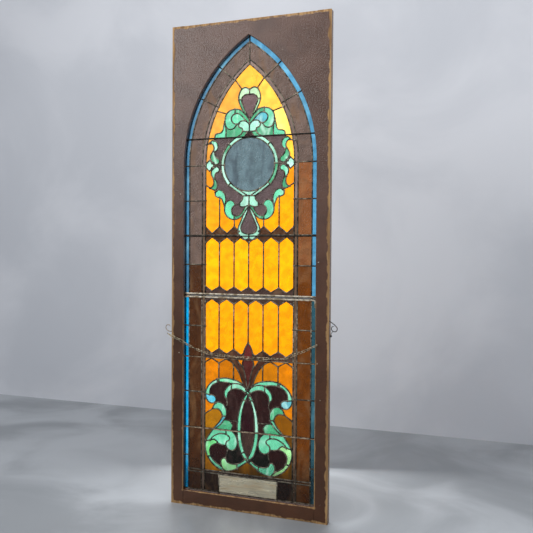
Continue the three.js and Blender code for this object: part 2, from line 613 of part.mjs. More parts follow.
const blankHalf = edgeX - EDGE_BEVEL;
const blank = bevelled(
  rectangle(-blankHalf, EDGE_BEVEL, blankHalf, SASH_HEIGHT - EDGE_BEVEL),
  SASH_DEPTH - 2 * EDGE_BEVEL, EDGE_BEVEL, SASH_DEPTH / 2 - EDGE_BEVEL,
);
const sightShape = outline(archLine(SIGHT, SILL));
const grooveShape = outline(archLine(panelEdge + GROOVE_SLACK, SILL - GROOVE_DEPTH - GROOVE_SLACK));
const opening = slab(sightShape, -SASH_DEPTH, SASH_DEPTH);
const arris = bevelled(sightShape, 6, CHAMFER, frontY);
const groove = slab(grooveShape, -half - GAP, half + GAP);
const sash = blank.subtract(joined([opening, arris, groove, ...sockets, ...shankHoles]));

const reach = 2 * SASH_HEIGHT;
const seam = GAP / 2;
const zone = (x0, z0, x1, z1) => slab(rectangle(x0, z0, x1, z1), -SASH_DEPTH, SASH_DEPTH);
const stileZone = joined([
  zone(SIGHT + seam, -reach, reach, reach),
  zone(0, SILL + GROOVE_SLACK, reach, HEAD_JOINT - seam),
]);
add('right_stile', sash.intersect(stileZone).asOriginal(), finishes.paint);
add('left_stile', sash.intersect(stileZone.rotate([0, 0, 180])).asOriginal(), finishes.paint);
add('head_board', sash.intersect(zone(-SIGHT + seam, HEAD_JOINT + seam, SIGHT - seam, reach)).asOriginal(), finishes.paint);
add('bottom_rail', sash.intersect(zone(-SIGHT + seam, -reach, SIGHT - seam, SILL)).asOriginal(), finishes.paint);

export default window;
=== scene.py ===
import math

import bpy
import numpy as np
from mathutils import Matrix, Vector, geometry


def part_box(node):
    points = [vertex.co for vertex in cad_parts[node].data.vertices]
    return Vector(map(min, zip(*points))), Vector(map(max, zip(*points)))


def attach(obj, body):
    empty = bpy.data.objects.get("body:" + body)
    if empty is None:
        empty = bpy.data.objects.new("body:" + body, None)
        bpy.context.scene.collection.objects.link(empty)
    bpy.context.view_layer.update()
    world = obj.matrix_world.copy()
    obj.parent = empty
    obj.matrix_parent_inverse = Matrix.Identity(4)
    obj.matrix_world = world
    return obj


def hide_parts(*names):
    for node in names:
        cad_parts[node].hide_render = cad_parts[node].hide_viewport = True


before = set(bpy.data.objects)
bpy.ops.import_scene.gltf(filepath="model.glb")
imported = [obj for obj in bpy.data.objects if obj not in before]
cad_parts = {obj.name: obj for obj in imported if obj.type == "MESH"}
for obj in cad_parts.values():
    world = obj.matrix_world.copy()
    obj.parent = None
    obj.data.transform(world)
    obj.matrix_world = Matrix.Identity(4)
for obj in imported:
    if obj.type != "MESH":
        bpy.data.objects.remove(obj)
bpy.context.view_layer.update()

MM = 0.001

# ------------------------------------------------------------------ camera and stage
# The window stands on a pale floor before a pale wall, seen from its right and a little above
# its middle, with soft light from the front and a broad soft light close behind the glass.
EYE = (1.0434, -2.8027, 1.2259)
YAW, PITCH, ROLL = -0.3285, -0.0230, 0.0064
LENS = 43.23

ahead = Vector((math.sin(YAW) * math.cos(PITCH), math.cos(YAW) * math.cos(PITCH), math.sin(PITCH)))
level = Vector((math.cos(YAW), -math.sin(YAW), 0))
rise = level.cross(ahead)
right = level * math.cos(ROLL) + rise * math.sin(ROLL)
above = rise * math.cos(ROLL) - level * math.sin(ROLL)
camera = bpy.data.objects.new("camera", bpy.data.cameras.new("camera"))
camera.data.lens = LENS
camera.data.sensor_width = 36
camera.matrix_world = Matrix((
    (right.x, above.x, -ahead.x, EYE[0]),
    (right.y, above.y, -ahead.y, EYE[1]),
    (right.z, above.z, -ahead.z, EYE[2]),
    (0, 0, 0, 1),
))
bpy.context.scene.collection.objects.link(camera)
bpy.context.scene.camera = camera


def linear(red, green, blue):
    """Linear light for a colour given as 0 to 255 display values."""
    share = np.array((red, green, blue)) / 255
    light = np.where(share <= 0.04045, share / 12.92, ((share + 0.055) / 1.055) ** 2.4)
    return (*light.tolist(), 1.0)


def put(tree, kind, links=None, **settings):
    """A node of that kind with its settings, and its inputs set to values or joined to sockets."""
    made = tree.nodes.new(kind)
    for name, value in settings.items():
        setattr(made, name, value)
    for name, value in (links or {}).items():
        if isinstance(value, bpy.types.NodeSocket):
            tree.links.new(value, made.inputs[name])
        else:
            made.inputs[name].default_value = value
    return made


def math_of(tree, operation, *values):
    """The output of a Math node over values or sockets."""
    return put(tree, "ShaderNodeMath", dict(enumerate(values)), operation=operation).outputs[0]


def blend_of(tree, share, low, high, way="MIX"):
    """The colour between low and high at share."""
    mix = put(tree, "ShaderNodeMix", data_type="RGBA", blend_type=way)
    for index, value in ((0, share), (6, low), (7, high)):
        if isinstance(value, bpy.types.NodeSocket):
            tree.links.new(value, mix.inputs[index])
        else:
            mix.inputs[index].default_value = value
    return mix.outputs[2]


def noise_of(tree, where, scale, detail=4.0, distortion=0.0):
    """The value of a noise at where."""
    links = {"Vector": where, "Scale": scale, "Detail": detail, "Distortion": distortion}
    return put(tree, "ShaderNodeTexNoise", links).outputs[0]


def ramp_of(tree, value, low, high, start=0.0, end=1.0):
    """The value carried smoothly from low..high to start..end, held at both."""
    links = {"Value": value, "From Min": low, "From Max": high, "To Min": start, "To Max": end}
    return put(tree, "ShaderNodeMapRange", links, interpolation_type="SMOOTHSTEP").outputs[0]


def stretched(tree, where, x, y, z):
    """The place multiplied by a factor on each axis."""
    return put(tree, "ShaderNodeVectorMath", {0: where, 1: (x, y, z)}, operation="MULTIPLY").outputs[0]


def new_material(name):
    """A node material of that name with its tree, its shader and the object's own coordinates."""
    material = bpy.data.materials.new(name)
    material.use_nodes = True
    tree = material.node_tree
    shader = tree.nodes["Principled BSDF"]
    where = put(tree, "ShaderNodeTexCoord").outputs["Object"]
    return material, tree, shader, where


def bump_into(tree, shader, height, distance, strength=1.0):
    """Sends a height to the shader's normal, with its depth in metres."""
    bump = put(tree, "ShaderNodeBump", {"Height": height, "Distance": distance, "Strength": strength})
    tree.links.new(bump.outputs[0], shader.inputs["Normal"])


def new_group(name, takes, gives):
    """A shader node group with named inputs and outputs, and its two end nodes."""
    group = bpy.data.node_groups.new(name, "ShaderNodeTree")
    for label, kind, value in takes:
        socket = group.interface.new_socket(label, in_out="INPUT", socket_type=kind)
        if value is not None:
            socket.default_value = value
    for label, kind in gives:
        group.interface.new_socket(label, in_out="OUTPUT", socket_type=kind)
    return group, group.nodes.new("NodeGroupInput").outputs, group.nodes.new("NodeGroupOutput").inputs


def mesh_object(name, points, faces, smooth=True):
    """An object at the origin whose mesh holds these points, in millimetres, and faces."""
    mesh = bpy.data.meshes.new(name)
    mesh.from_pydata((np.asarray(points, float) * MM).tolist(), [], [list(map(int, face)) for face in faces])
    mesh.polygons.foreach_set("use_smooth", [smooth] * len(mesh.polygons))
    mesh.update()
    made = bpy.data.objects.new(name, mesh)
    bpy.context.scene.collection.objects.link(made)
    return made


def plain_sheet(name, corners, material):
    """A stage sheet with these four corners, in metres."""
    sheet = mesh_object(name, np.array(corners) / MM, [(0, 1, 2, 3)], smooth=False)
    sheet.data.materials.append(material)


plaster, tree, shader, where = new_material("pale_plaster")
cloud = noise_of(tree, where, 0.9, 5.0, 0.6)
tree.links.new(blend_of(tree, ramp_of(tree, cloud, 0.35, 0.65), linear(214, 217, 224), linear(232, 234, 240)),
               shader.inputs["Base Color"])
shader.inputs["Roughness"].default_value = 0.6
concrete, tree, shader, where = new_material("pale_floor")
cloud = noise_of(tree, where, 1.4, 6.0, 0.8)
tree.links.new(blend_of(tree, ramp_of(tree, cloud, 0.35, 0.65), linear(150, 154, 158), linear(184, 188, 192)),
               shader.inputs["Base Color"])
shader.inputs["Roughness"].default_value = 0.35
WALL_Y = 1.6
plain_sheet("floor", [(-6, -6, 0), (6, -6, 0), (6, WALL_Y, 0), (-6, WALL_Y, 0)], concrete)
plain_sheet("wall", [(-6, WALL_Y, 0), (6, WALL_Y, 0), (6, WALL_Y, 5), (-6, WALL_Y, 5)], plaster)


def soft_light(name, place, aim, width, height, power, tint=(1, 1, 1)):
    """A soft area light at place, turned towards aim."""
    light = bpy.data.lights.new(name, "AREA")
    light.shape = "RECTANGLE"
    light.size, light.size_y = width, height
    light.energy = power
    light.color = tint
    made = bpy.data.objects.new(name, light)
    made.location = place
    made.rotation_euler = (Vector(aim) - Vector(place)).to_track_quat("-Z", "Z").to_euler()
    bpy.context.scene.collection.objects.link(made)
    return made


behind = soft_light("light_behind", (-0.18, 0.62, 1.2), (0, 0, 1.2), 1.5, 2.5, 22)
behind.visible_camera = False
behind.visible_glossy = False
soft_light("light_front", (-2.4, -3.0, 3.2), (0, 0, 1.3), 2.0, 2.0, 60)
soft_light("light_right", (2.8, -1.6, 2.6), (0.2, 0, 1.6), 1.2, 1.8, 30)
soft_light("light_wall", (0, -1.5, 4.2), (0, 1.6, 1.6), 3.5, 1.0, 42)
world = bpy.data.worlds.new("room")
world.use_nodes = True
world.node_tree.nodes["Background"].inputs[0].default_value = (0.80, 0.84, 0.90, 1)
world.node_tree.nodes["Background"].inputs[1].default_value = 0.36
bpy.context.scene.world = world
bpy.context.scene.view_settings.view_transform = "Standard"

# ------------------------------------------------------------------ leadwork
# Two leaded panels, one over the other. Each came is a strip of lead with a groove on either side
# for the glass, bent by hand along its line and soldered to the others where they meet.
SIGHT = 327.5
SILL = 70
SPRING = 1639
ARCH_SHIFT = 364
BLUE_LINE = 304
FILLET_OUTER = 237
FILLET_INNER = 220
UPPER_EDGE = 1019
LOWER_EDGE = 1012
FOOT_EDGE = 76
RIM_LINE = 330.5
BAR_HEIGHTS = (1760, 1303, 719, 378)
RING_CENTRE = 1633
STEP = 5.0


def mirror(line):
    """The line on the other side of the middle."""
    return [(-x, z) for x, z in line]


def both(line):
    """The line and its mirror image."""
    return [line, mirror(line)]


def bent(points, close=3.0):
    """A centripetal Catmull-Rom curve: each span is the Barry-Goldman blend of its four points,
    whose knots lie apart by the square root of the distance between the points."""
    given = np.array(points, float)
    ends = np.vstack((2 * given[0] - given[1], given, 2 * given[-1] - given[-2]))
    spans = []
    for p0, p1, p2, p3 in zip(ends, ends[1:], ends[2:], ends[3:]):
        t1 = math.sqrt(np.hypot(*(p1 - p0)))
        t2 = t1 + math.sqrt(np.hypot(*(p2 - p1)))
        t3 = t2 + math.sqrt(np.hypot(*(p3 - p2)))
        count = max(2, round(np.hypot(*(p2 - p1)) / close))
        t = np.linspace(t1, t2, count, endpoint=False)[:, None]
        a1 = (t1 - t) / t1 * p0 + t / t1 * p1
        a2 = (t2 - t) / (t2 - t1) * p1 + (t - t1) / (t2 - t1) * p2
        a3 = (t3 - t) / (t3 - t2) * p2 + (t - t2) / (t3 - t2) * p3
        b1 = (t2 - t) / t2 * a1 + t / t2 * a2
        b2 = (t3 - t) / (t3 - t1) * a2 + (t - t1) / (t3 - t1) * a3
        spans.append((t2 - t) / (t2 - t1) * b1 + (t - t1) / (t2 - t1) * b2)
    return [tuple(p) for p in np.vstack((*spans, given[-1:]))]


def arc(x, z, radius, start, end, close=STEP):
    """Points round a circle from one angle to another, in degrees."""
    count = max(2, round(radius * math.radians(abs(end - start)) / close))
    turn = np.radians(np.linspace(start, end, count + 1))
    return list(zip(x + radius * np.cos(turn), z + radius * np.sin(turn)))


def apex(half):
    """Height of the point of the arch line of that half width."""
    return SPRING + math.sqrt((ARCH_SHIFT + half) ** 2 - ARCH_SHIFT ** 2)


def arch_side(half, foot):
    """The right side of an arch line, from its foot to just short of its point."""
    top = math.degrees(math.acos(ARCH_SHIFT / (ARCH_SHIFT + half)))
    return [(half, foot), *arc(-ARCH_SHIFT, SPRING, ARCH_SHIFT + half, 0, top)[:-1]]


def arch_line(half, foot):
    """The whole arch line, up one side and down the other."""
    side = arch_side(half, foot)
    return [*side, (0, apex(half)), *mirror(side)[::-1]]


def across_at(degrees, inner, outer):
    """A short line square across the arch lines, that many degrees round."""
    turn = math.radians(degrees)
    return [((ARCH_SHIFT + half) * math.cos(turn) - ARCH_SHIFT, SPRING + (ARCH_SHIFT + half) * math.sin(turn))
            for half in (inner, outer)]


upper_cames = []
lower_cames = []


def upper(*lines):
    """Sets out cames of the upper panel."""
    upper_cames.extend(lines)


def lower(*lines):
    """Sets out cames of the lower panel."""
    lower_cames.extend(lines)


# Borders: three concentric lines, and the short cames across them.
for half in (BLUE_LINE, FILLET_OUTER, FILLET_INNER):
    upper(arch_line(half, UPPER_EDGE))
    lower(*both([(half, LOWER_EDGE), (half, FOOT_EDGE)]))
for degrees in (27.2, 41.5):
    upper(*both(across_at(degrees, FILLET_INNER, RIM_LINE)))
for z in (1634, 1467, 1163):
    upper(*both([(FILLET_INNER, z), (RIM_LINE, z)]))
for z in (869, 551):
    lower(*both([(FILLET_INNER, z), (RIM_LINE, z)]))
lower(*both([(BLUE_LINE, 240), (RIM_LINE, 240)]))
upper([(0, apex(FILLET_INNER)), (0, apex(RIM_LINE))])
upper(*both([(119, 1760), (0, 1760)]), *both([(175, 1760), (316, 1760)]))
upper(*both([(118, 1760), (175, 1760)]))
upper(*both([(48, 1303), (RIM_LINE, 1303)]))
lower(*both([(60, 719), (RIM_LINE, 719)]), [(-23, 719), (23, 719)])
lower(*both([(23, 719), (60, 719)]))
lower([(-RIM_LINE, 378), (-110, 378)], [(RIM_LINE, 378), (110, 378)], [(-53, 378), (53, 378)])
lower(*both([(53, 378), (83, 378)]), *both([(83, 378), (110, 378)]))

# Rows of quarries: zigzag lines between amber and brown, upright cames between the ambers.
def zigzag(shoulder, tip):
    """The line along one side of a row of quarries, from the middle to the border."""
    return [(0, shoulder), (37, tip), (73, shoulder), (110, tip), (148, shoulder), (186, tip),
            (FILLET_INNER, shoulder)]


def whole_row(shoulder, tip):
    """The line from border to border."""
    return [*mirror(zigzag(shoulder, tip))[::-1], *zigzag(shoulder, tip)[1:]]


upper(*both([(49, 1321), *zigzag(1343, 1311)[2:]]))
upper(whole_row(1267, 1295), whole_row(1059, 1037))
lower(whole_row(978, 1001))
lower(*both([(24, 746), *zigzag(764, 740)[1:]]))
lower(*both([(110, 717), (148, 695), (186, 717), (FILLET_INNER, 695)]))
for x, foot, below in ((73, 1378, 692), (148, 1482, 695)):
    upper(*both([(x, 1267), (x, 1059)]), *both([(x, 1343), (x, foot)]))
    lower(*both([(x, 978), (x, 764)]), *both([(x, below), (x, 621 if x < 100 else 608)]))
upper([(0, 1267), (0, 1059)])
lower([(0, 978), (0, 800)])
lower(*both([(110, 740), (110, 717)]), *both([(186, 740), (186, 717)]))
# Amber field round the upper ornament.
upper(*both([(71, 2027), (39, 1984)]), *both([(168, 1890), (115, 1873)]))
upper(*both([(219, 1733), (196, 1738)]), *both([(220, 1541), (197, 1527)]))

# Top of the upper ornament: heart, scroll, leaf and foot.
upper(*both(bent([(0, 1980), (22, 1989), (40, 1981), (51, 1960), (54, 1938), (50, 1918), (30, 1876)])))
upper(*both(bent([(0, 1957), (20, 1956), (35, 1946), (40, 1930), (33, 1908), (12, 1862), (0, 1841)])))
upper([(0, 1957), (0, 1980)], *both([(38, 1933), (53, 1935)]))
upper(*both(bent([(30, 1875), (46, 1887), (70, 1892), (100, 1885), (118, 1866), (124, 1838)])))
upper(*both(bent([(0, 1838), (14, 1857), (30, 1875)])), *both([(124, 1838), (119, 1815)]))
upper(*both(bent([(119, 1815), (108, 1803), (93, 1799), (76, 1805), (65, 1820)])))
upper(*both(bent([
  (65, 1820), (80, 1828), (89, 1840), (89, 1856), (76, 1869), (58, 1871), (42, 1862), (28, 1848), (17, 1834),
])))
upper(*both([(17, 1834), (0, 1818)]), *both([(72, 1871), (72, 1892)]), *both([(64, 1821), (51, 1825)]))
upper(*both(bent([(17, 1834), (32, 1836), (46, 1832), (54, 1819), (49, 1806), (36, 1800), (33, 1787)])))
upper([(0, 1783), (0, 1840)], *both([(0, 1783), (33, 1787)]))
upper(*both([(33, 1787), (39, 1776), (54, 1764)]), *both([(9, 1784), (22, 1764), (25, 1756)]))
upper(*both(bent([(124, 1838), (130, 1815), (133, 1798), (143, 1786), (160, 1783), (171, 1778), (175, 1760)])))
upper(*both(bent([(119, 1815), (117, 1790), (119, 1760)])))

# Medallion and its ring.
upper(arc(0, RING_CENTRE, 125, 0, 360))
upper(*both([*arc(0, RING_CENTRE, 142, 67.5, -40), (100, 1535), (60, 1506), (30, 1486)]))
upper(*both([(56, 1521), (40, 1509), (14, 1491)]))
for degrees in (0, 43.5, -42.6):
    upper(*both([arc(0, RING_CENTRE, radius, degrees, degrees)[0] for radius in (125, 142)]))

# Crescents, diamonds and leaves down the sides of the ring.
upper(*both(bent([
  (175, 1697), (162, 1707), (158, 1722), (163, 1740), (175, 1750), (190, 1750), (198, 1741),
])))
upper(*both(bent([(198, 1741), (186, 1734), (179, 1722), (179, 1708), (188, 1694), (196, 1676), (194, 1660)])))
upper(*both(bent([
  (175, 1697), (172, 1680), (163, 1668), (152, 1660), (151, 1646), (161, 1638), (176, 1640), (194, 1660),
])))
upper(*both([(175, 1697), (181, 1701)]), *both([(142, RING_CENTRE), (178, RING_CENTRE)]))
upper(*both([(220, 1641), (201, 1659), (178, 1633), (201, 1607), (220, 1625)]))
upper(*both(bent([(173, 1571), (173, 1586), (168, 1597), (155, 1603), (150, 1615), (163, 1627), (179, 1622)])))
upper(*both(bent([(179, 1622), (191, 1606), (191, 1590), (181, 1571), (179, 1548), (185, 1534), (198, 1526)])))
upper(*both(bent([(173, 1571), (164, 1556), (160, 1540), (163, 1525), (174, 1517), (198, 1526)])))
upper(*both([(173, 1571), (181, 1571)]))
upper(*both([(174, 1517), (164, 1512)]), *both([(175, 1760), (178, 1750)]))
upper(*both([(181, 1646), (188, 1643)]), *both([(181, 1620), (189, 1622)]))
upper(*both(bent([(123, 1438), (118, 1462), (118, 1482), (126, 1502), (142, 1515), (158, 1516), (171, 1506)])))
upper(*both(bent([(171, 1506), (170, 1490), (157, 1482), (140, 1477), (132, 1462), (123, 1438)])))

# Foot of the upper ornament: leaf, scroll and teardrop.
upper([(0, 1440), (0, 1487)], *both([(0, 1487), (30, 1486)]))
upper(*both(bent([(30, 1486), (33, 1470), (47, 1452), (44, 1438), (22, 1435)])))
upper(*both([(22, 1435), (0, 1444)]), *both([(48, 1448), (69, 1445)]))
upper(*both(bent([(0, 1440), (14, 1421), (27, 1402)])), *both([(74, 1378), (73, 1397)]))
upper(*both(bent([
  (27, 1402), (45, 1385), (65, 1377), (86, 1378), (107, 1389), (121, 1410), (123, 1432), (115, 1456),
  (98, 1467), (80, 1462), (69, 1445),
])))
upper(*both(bent([(69, 1445), (82, 1434), (87, 1418), (80, 1399), (64, 1393), (46, 1399), (32, 1414), (22, 1435)])))
upper(*both(bent([(27, 1402), (40, 1368), (52, 1342), (55, 1320), (46, 1297), (28, 1283), (12, 1282), (0, 1289)])))
upper(*both(bent([(0, 1432), (13, 1400), (33, 1358), (40, 1338), (34, 1319), (18, 1310), (0, 1307)])))
upper([(0, 1289), (0, 1307)])

# Fleur below the third row.
lower(*both(bent([(0, 800), (12, 780), (22, 752), (23, 719), (28, 700), (25, 682), (15, 650), (6, 600), (0, 582)])))
lower(*both(bent([(26, 685), (40, 696), (57, 719)])))
lower(*both(bent([(110, 717), (80, 701), (65, 686), (50, 665), (35, 635), (25, 605), (20, 592)])))

# Upper half of the lower ornament: the large scrolls that cross, arch, curl and leaf.
lower(*both(bent([
  (0, 572), (8, 581), (22, 597), (45, 612), (75, 621), (110, 625), (145, 621), (175, 608), (198, 588), (213, 562),
  (217, 543), (212, 521), (200, 506), (185, 501), (168, 506), (162, 520), (167, 533), (180, 540), (195, 540),
])))
lower(*both(bent([(195, 540), (194, 562), (186, 580), (170, 594), (145, 604), (110, 605), (82, 601)])))
lower(*both([(195, 540), (217, 543)]), *both([(154, 602), (158, 617)]))
lower(*both(bent([(4, 574), (20, 590), (40, 600), (60, 603), (82, 601)])), *both([(82, 601), (84, 571)]))
lower(*both(bent([(8, 557), (30, 572), (50, 578), (70, 577), (84, 571)])))
lower(*both(bent([(82, 601), (104, 583), (118, 562), (119, 542), (105, 520)])))
lower(*both(bent([(84, 571), (98, 558), (104, 542), (105, 520)])))
lower(*both([(105, 520), (103, 502), (112, 486)]), *both([(219, 447), (178, 476)]))
lower(*both(bent([
  (109, 443), (108, 468), (114, 488), (127, 502), (147, 508), (164, 503), (178, 476), (152, 475), (137, 464),
  (128, 443),
])))
lower(*both([(168, 506), (163, 503)]))
lower(*both([(109, 443), (128, 443)]), *both([(118, 427), (136, 405), (166, 378)]))
lower(*both([(109, 443), (118, 427)]), *both(bent([(128, 443), (140, 420), (158, 398), (176, 378)])))
lower(*both([(118, 427), (90, 424), (75, 404), (83, 378)]))
lower(*both([(52, 424), (90, 424)]))

# Lower half of the lower ornament: the round scrolls, comma leaves and lower leaves.
lower(*both(bent([
  (176, 378), (191, 355), (205, 335), (216, 310), (217, 283), (210, 255), (197, 231), (176, 208), (152, 192),
  (122, 182), (92, 184), (62, 195), (33, 214), (0, 238),
])))
lower(*both(bent([(110, 358), (140, 358), (163, 349), (180, 337), (192, 321)])))
lower(*both(bent([
  (192, 321), (170, 327), (153, 312), (172, 303), (188, 291), (194, 270), (187, 245), (168, 222), (133, 202),
])))
lower(*both([(192, 321), (214, 317)]), *both([(187, 246), (204, 243)]), *both([(133, 202), (115, 182)]))
lower(*both(bent([
  (133, 202), (135, 228), (126, 241), (112, 243), (104, 228), (90, 220), (60, 219), (35, 229), (12, 248),
])))
lower(*both([(56, 219), (52, 199)]))
lower(*both(bent([
  (83, 378), (66, 363), (54, 340), (53, 312), (63, 291), (82, 283), (100, 288), (110, 302), (107, 322),
  (94, 332), (92, 344), (110, 358),
])))
lower(*both([(110, 358), (110, 378)]), *both([(111, 303), (135, 305), (154, 312)]))
lower(*both([(101, 288), (105, 264), (112, 243)]))

# Vesica: two long bands that cross above and below.
lower(*both(bent([(0, 549), (14, 520), (27, 475), (33, 425), (34, 375), (28, 325), (16, 285), (0, 252)])))
lower(*both(bent([(8, 557), (24, 530), (40, 485), (51, 430), (53, 378), (50, 338), (42, 300), (28, 265), (12, 248)])))
lower(*both([(10, 526), (25, 528)]), [(-10, 578), (10, 563)], [(-10, 565), (6, 549)])
lower([(-34, 272), (-18, 281)], [(-12, 248), (4, 236)], [(0, 252), (12, 241)])

# Bottom row: one wide strip of lead above the opal and the squares.
lower(*both([(-BLUE_LINE, 175), (0, 175)]), *both([(-BLUE_LINE, 163), (0, 163)]))
lower(*both([(146, 165), [146, SILL]]))

upper(arch_line(RIM_LINE, UPPER_EDGE), [(-RIM_LINE, UPPER_EDGE), (RIM_LINE, UPPER_EDGE)])
lower([(-RIM_LINE, FOOT_EDGE), (RIM_LINE, FOOT_EDGE), (RIM_LINE, LOWER_EDGE), (-RIM_LINE, LOWER_EDGE),
       (-RIM_LINE, FOOT_EDGE)])

CAME = np.array([(-3, 1.6), (-2.7, 2.9), (-1.6, 3.7), (0, 3.95), (1.6, 3.7), (2.7, 2.9), (3, 1.6)])
CAME_RING = np.vstack((CAME * (1, -1), CAME[::-1]))


def swept(line, ring):
    """A ring of (side, depth) offsets carried along a line: each ring lies across the mean of the
    two directions that meet at its point. Ends are closed by a face each."""
    path = np.array(line, float)
    step = np.diff(path, axis=0)
    step /= np.linalg.norm(step, axis=1)[:, None]
    into, out = np.vstack((step[:1], step)), np.vstack((step, step[-1:]))
    mean = into + out
    mean /= np.maximum((mean ** 2).sum(axis=1), 1.5)[:, None] / 2
    side = np.column_stack((-mean[:, 1], mean[:, 0]))
    x = path[:, :1] + side[:, :1] * ring[:, 0]
    z = path[:, 1:] + side[:, 1:] * ring[:, 0]
    y = np.broadcast_to(ring[:, 1], x.shape)
    points = np.stack((x, y, z), axis=2).reshape(-1, 3)
    rows, count = len(path), len(ring)
    a = (np.arange(rows - 1)[:, None] * count + np.arange(count)).ravel()
    b = (np.arange(rows - 1)[:, None] * count + np.roll(np.arange(count), -1)).ravel()
    faces = np.column_stack((a, a + count, b + count, b)).tolist()
    return points, faces + [list(range(count)), list(range((rows - 1) * count, rows * count))[::-1]]


def gathered(parts):
    """Several (points, faces) as one."""
    starts = np.cumsum([0] + [len(points) for points, _ in parts])
    faces = [[index + start for index in face] for (_, made), start in zip(parts, starts) for face in made]
    return np.vstack([points for points, _ in parts]), faces


def solder(lines):
    """A flat round blob over every came end, front and back: half an ellipsoid each."""
    ends = np.unique(np.round([line[i] for line in lines for i in (0, -1)], 0), axis=0)
    turn = np.linspace(0, 2 * np.pi, 8, endpoint=False)
    parts = []
    for facing in (-1, 1):
        for x, z in ends:
            rings = [np.column_stack((x + r * np.cos(turn), np.full(8, facing * y), z + r * np.sin(turn)))
                     for r, y in ((5.2, 2.6), (4.4, 3.9), (2.2, 4.25))]
            a = np.concatenate([np.arange(8) + 8 * k for k in (0, 1)])
            b = np.concatenate([np.roll(np.arange(8), -1) + 8 * k for k in (0, 1)])
            faces = np.column_stack((a, b, b + 8, a + 8)).tolist() + [list(range(16, 24))]
            parts.append((np.vstack(rings), faces if facing < 0 else [face[::-1] for face in faces]))
    return parts


lead, tree, shader, where = new_material("lead_came")
patina = noise_of(tree, where, 60, 6.0, 0.4)
tree.links.new(blend_of(tree, ramp_of(tree, patina, 0.35, 0.7), linear(64, 60, 54), linear(150, 140, 122)),
               shader.inputs["Base Color"])
tree.links.new(ramp_of(tree, patina, 0.3, 0.7, 0.6, 0.38), shader.inputs["Roughness"])
shader.inputs["Metallic"].default_value = 0.7
bump_into(tree, shader, noise_of(tree, where, 220, 3.0), 0.0006)

for name, lines in (("upper_leadwork", upper_cames), ("lower_leadwork", lower_cames)):
    made = mesh_object(f"{name}_cames", *gathered([swept(line, CAME_RING) for line in lines] + solder(lines)))
    made.data.materials.append(lead)
    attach(made, "root")
    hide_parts(name)

# ------------------------------------------------------------------ glass
# Sheet glass cut to the lines of the leads. Borders and quarries are cathedral glass, the scrolls
# streaky green, the dark grounds hammered and the foot panel opal. Each pane has a tint of its own.
# The amber tints carry painted light: a painted reflection makes the upper field paler, and painted
# shade darkens the amber towards the foot.
EYE_LINE = 1.5


def half_width(x, z):
    """Half width of the arch line that passes through each point."""
    return np.where(z < SPRING, np.abs(x), np.hypot(np.abs(x) + ARCH_SHIFT, z - SPRING) - ARCH_SHIFT)


def cut(lines):
    """Splits the plane along the came lines. Gives the points, the triangles and the number of the
    pane that each triangle is in: triangles that share an uncut edge take the lower number."""
    points, edges = [], []
    for line in lines:
        path = np.array(line, float)
        for end, beside in ((0, 1), (-1, -2)):
            way = path[end] - path[beside]
            path[end] += way / np.linalg.norm(way) * 2.5
        edges += [(len(points) + i, len(points) + i + 1) for i in range(len(path) - 1)]
        points += path.tolist()
    found = geometry.delaunay_2d_cdt([Vector(p) for p in points], edges, [], 0, 0.01, True)
    spots, triangles = np.array([tuple(p) for p in found[0]]), np.array(found[2])
    count = len(spots)
    walls = np.sort(np.array([edge for edge, source in zip(found[1], found[4]) if source]), axis=1)
    sides = np.sort(np.stack((triangles, np.roll(triangles, -1, axis=1)), axis=2).reshape(-1, 2), axis=1)
    keys, owners = sides[:, 0] * count + sides[:, 1], np.repeat(np.arange(len(triangles)), 3)
    free = ~np.isin(keys, walls[:, 0] * count + walls[:, 1])
    order = np.argsort(keys[free], kind="stable")
    keys, owners = keys[free][order], owners[free][order]
    twin = np.flatnonzero(keys[1:] == keys[:-1])
    first, second = owners[twin], owners[twin + 1]
    pane = np.arange(len(triangles))
    while True:
        low = np.minimum(pane[first], pane[second])
        before = pane.copy()
        np.minimum.at(pane, first, low)
        np.minimum.at(pane, second, low)
        pane = pane[pane]
        if (pane == before).all():
            return spots, triangles, pane


def holder(spots, triangles, place):
    """The triangle that holds a place: all three turns round it have one sign."""
    a, b, c = (spots[triangles[:, i]] - np.array(place, float) for i in range(3))
    turns = np.stack([p[:, 0] * q[:, 1] - p[:, 1] * q[:, 0] for p, q in ((a, b), (b, c), (c, a))])
    inside = np.flatnonzero((turns > 0).all(axis=0) | (turns < 0).all(axis=0))
    return inside[0] if len(inside) else None


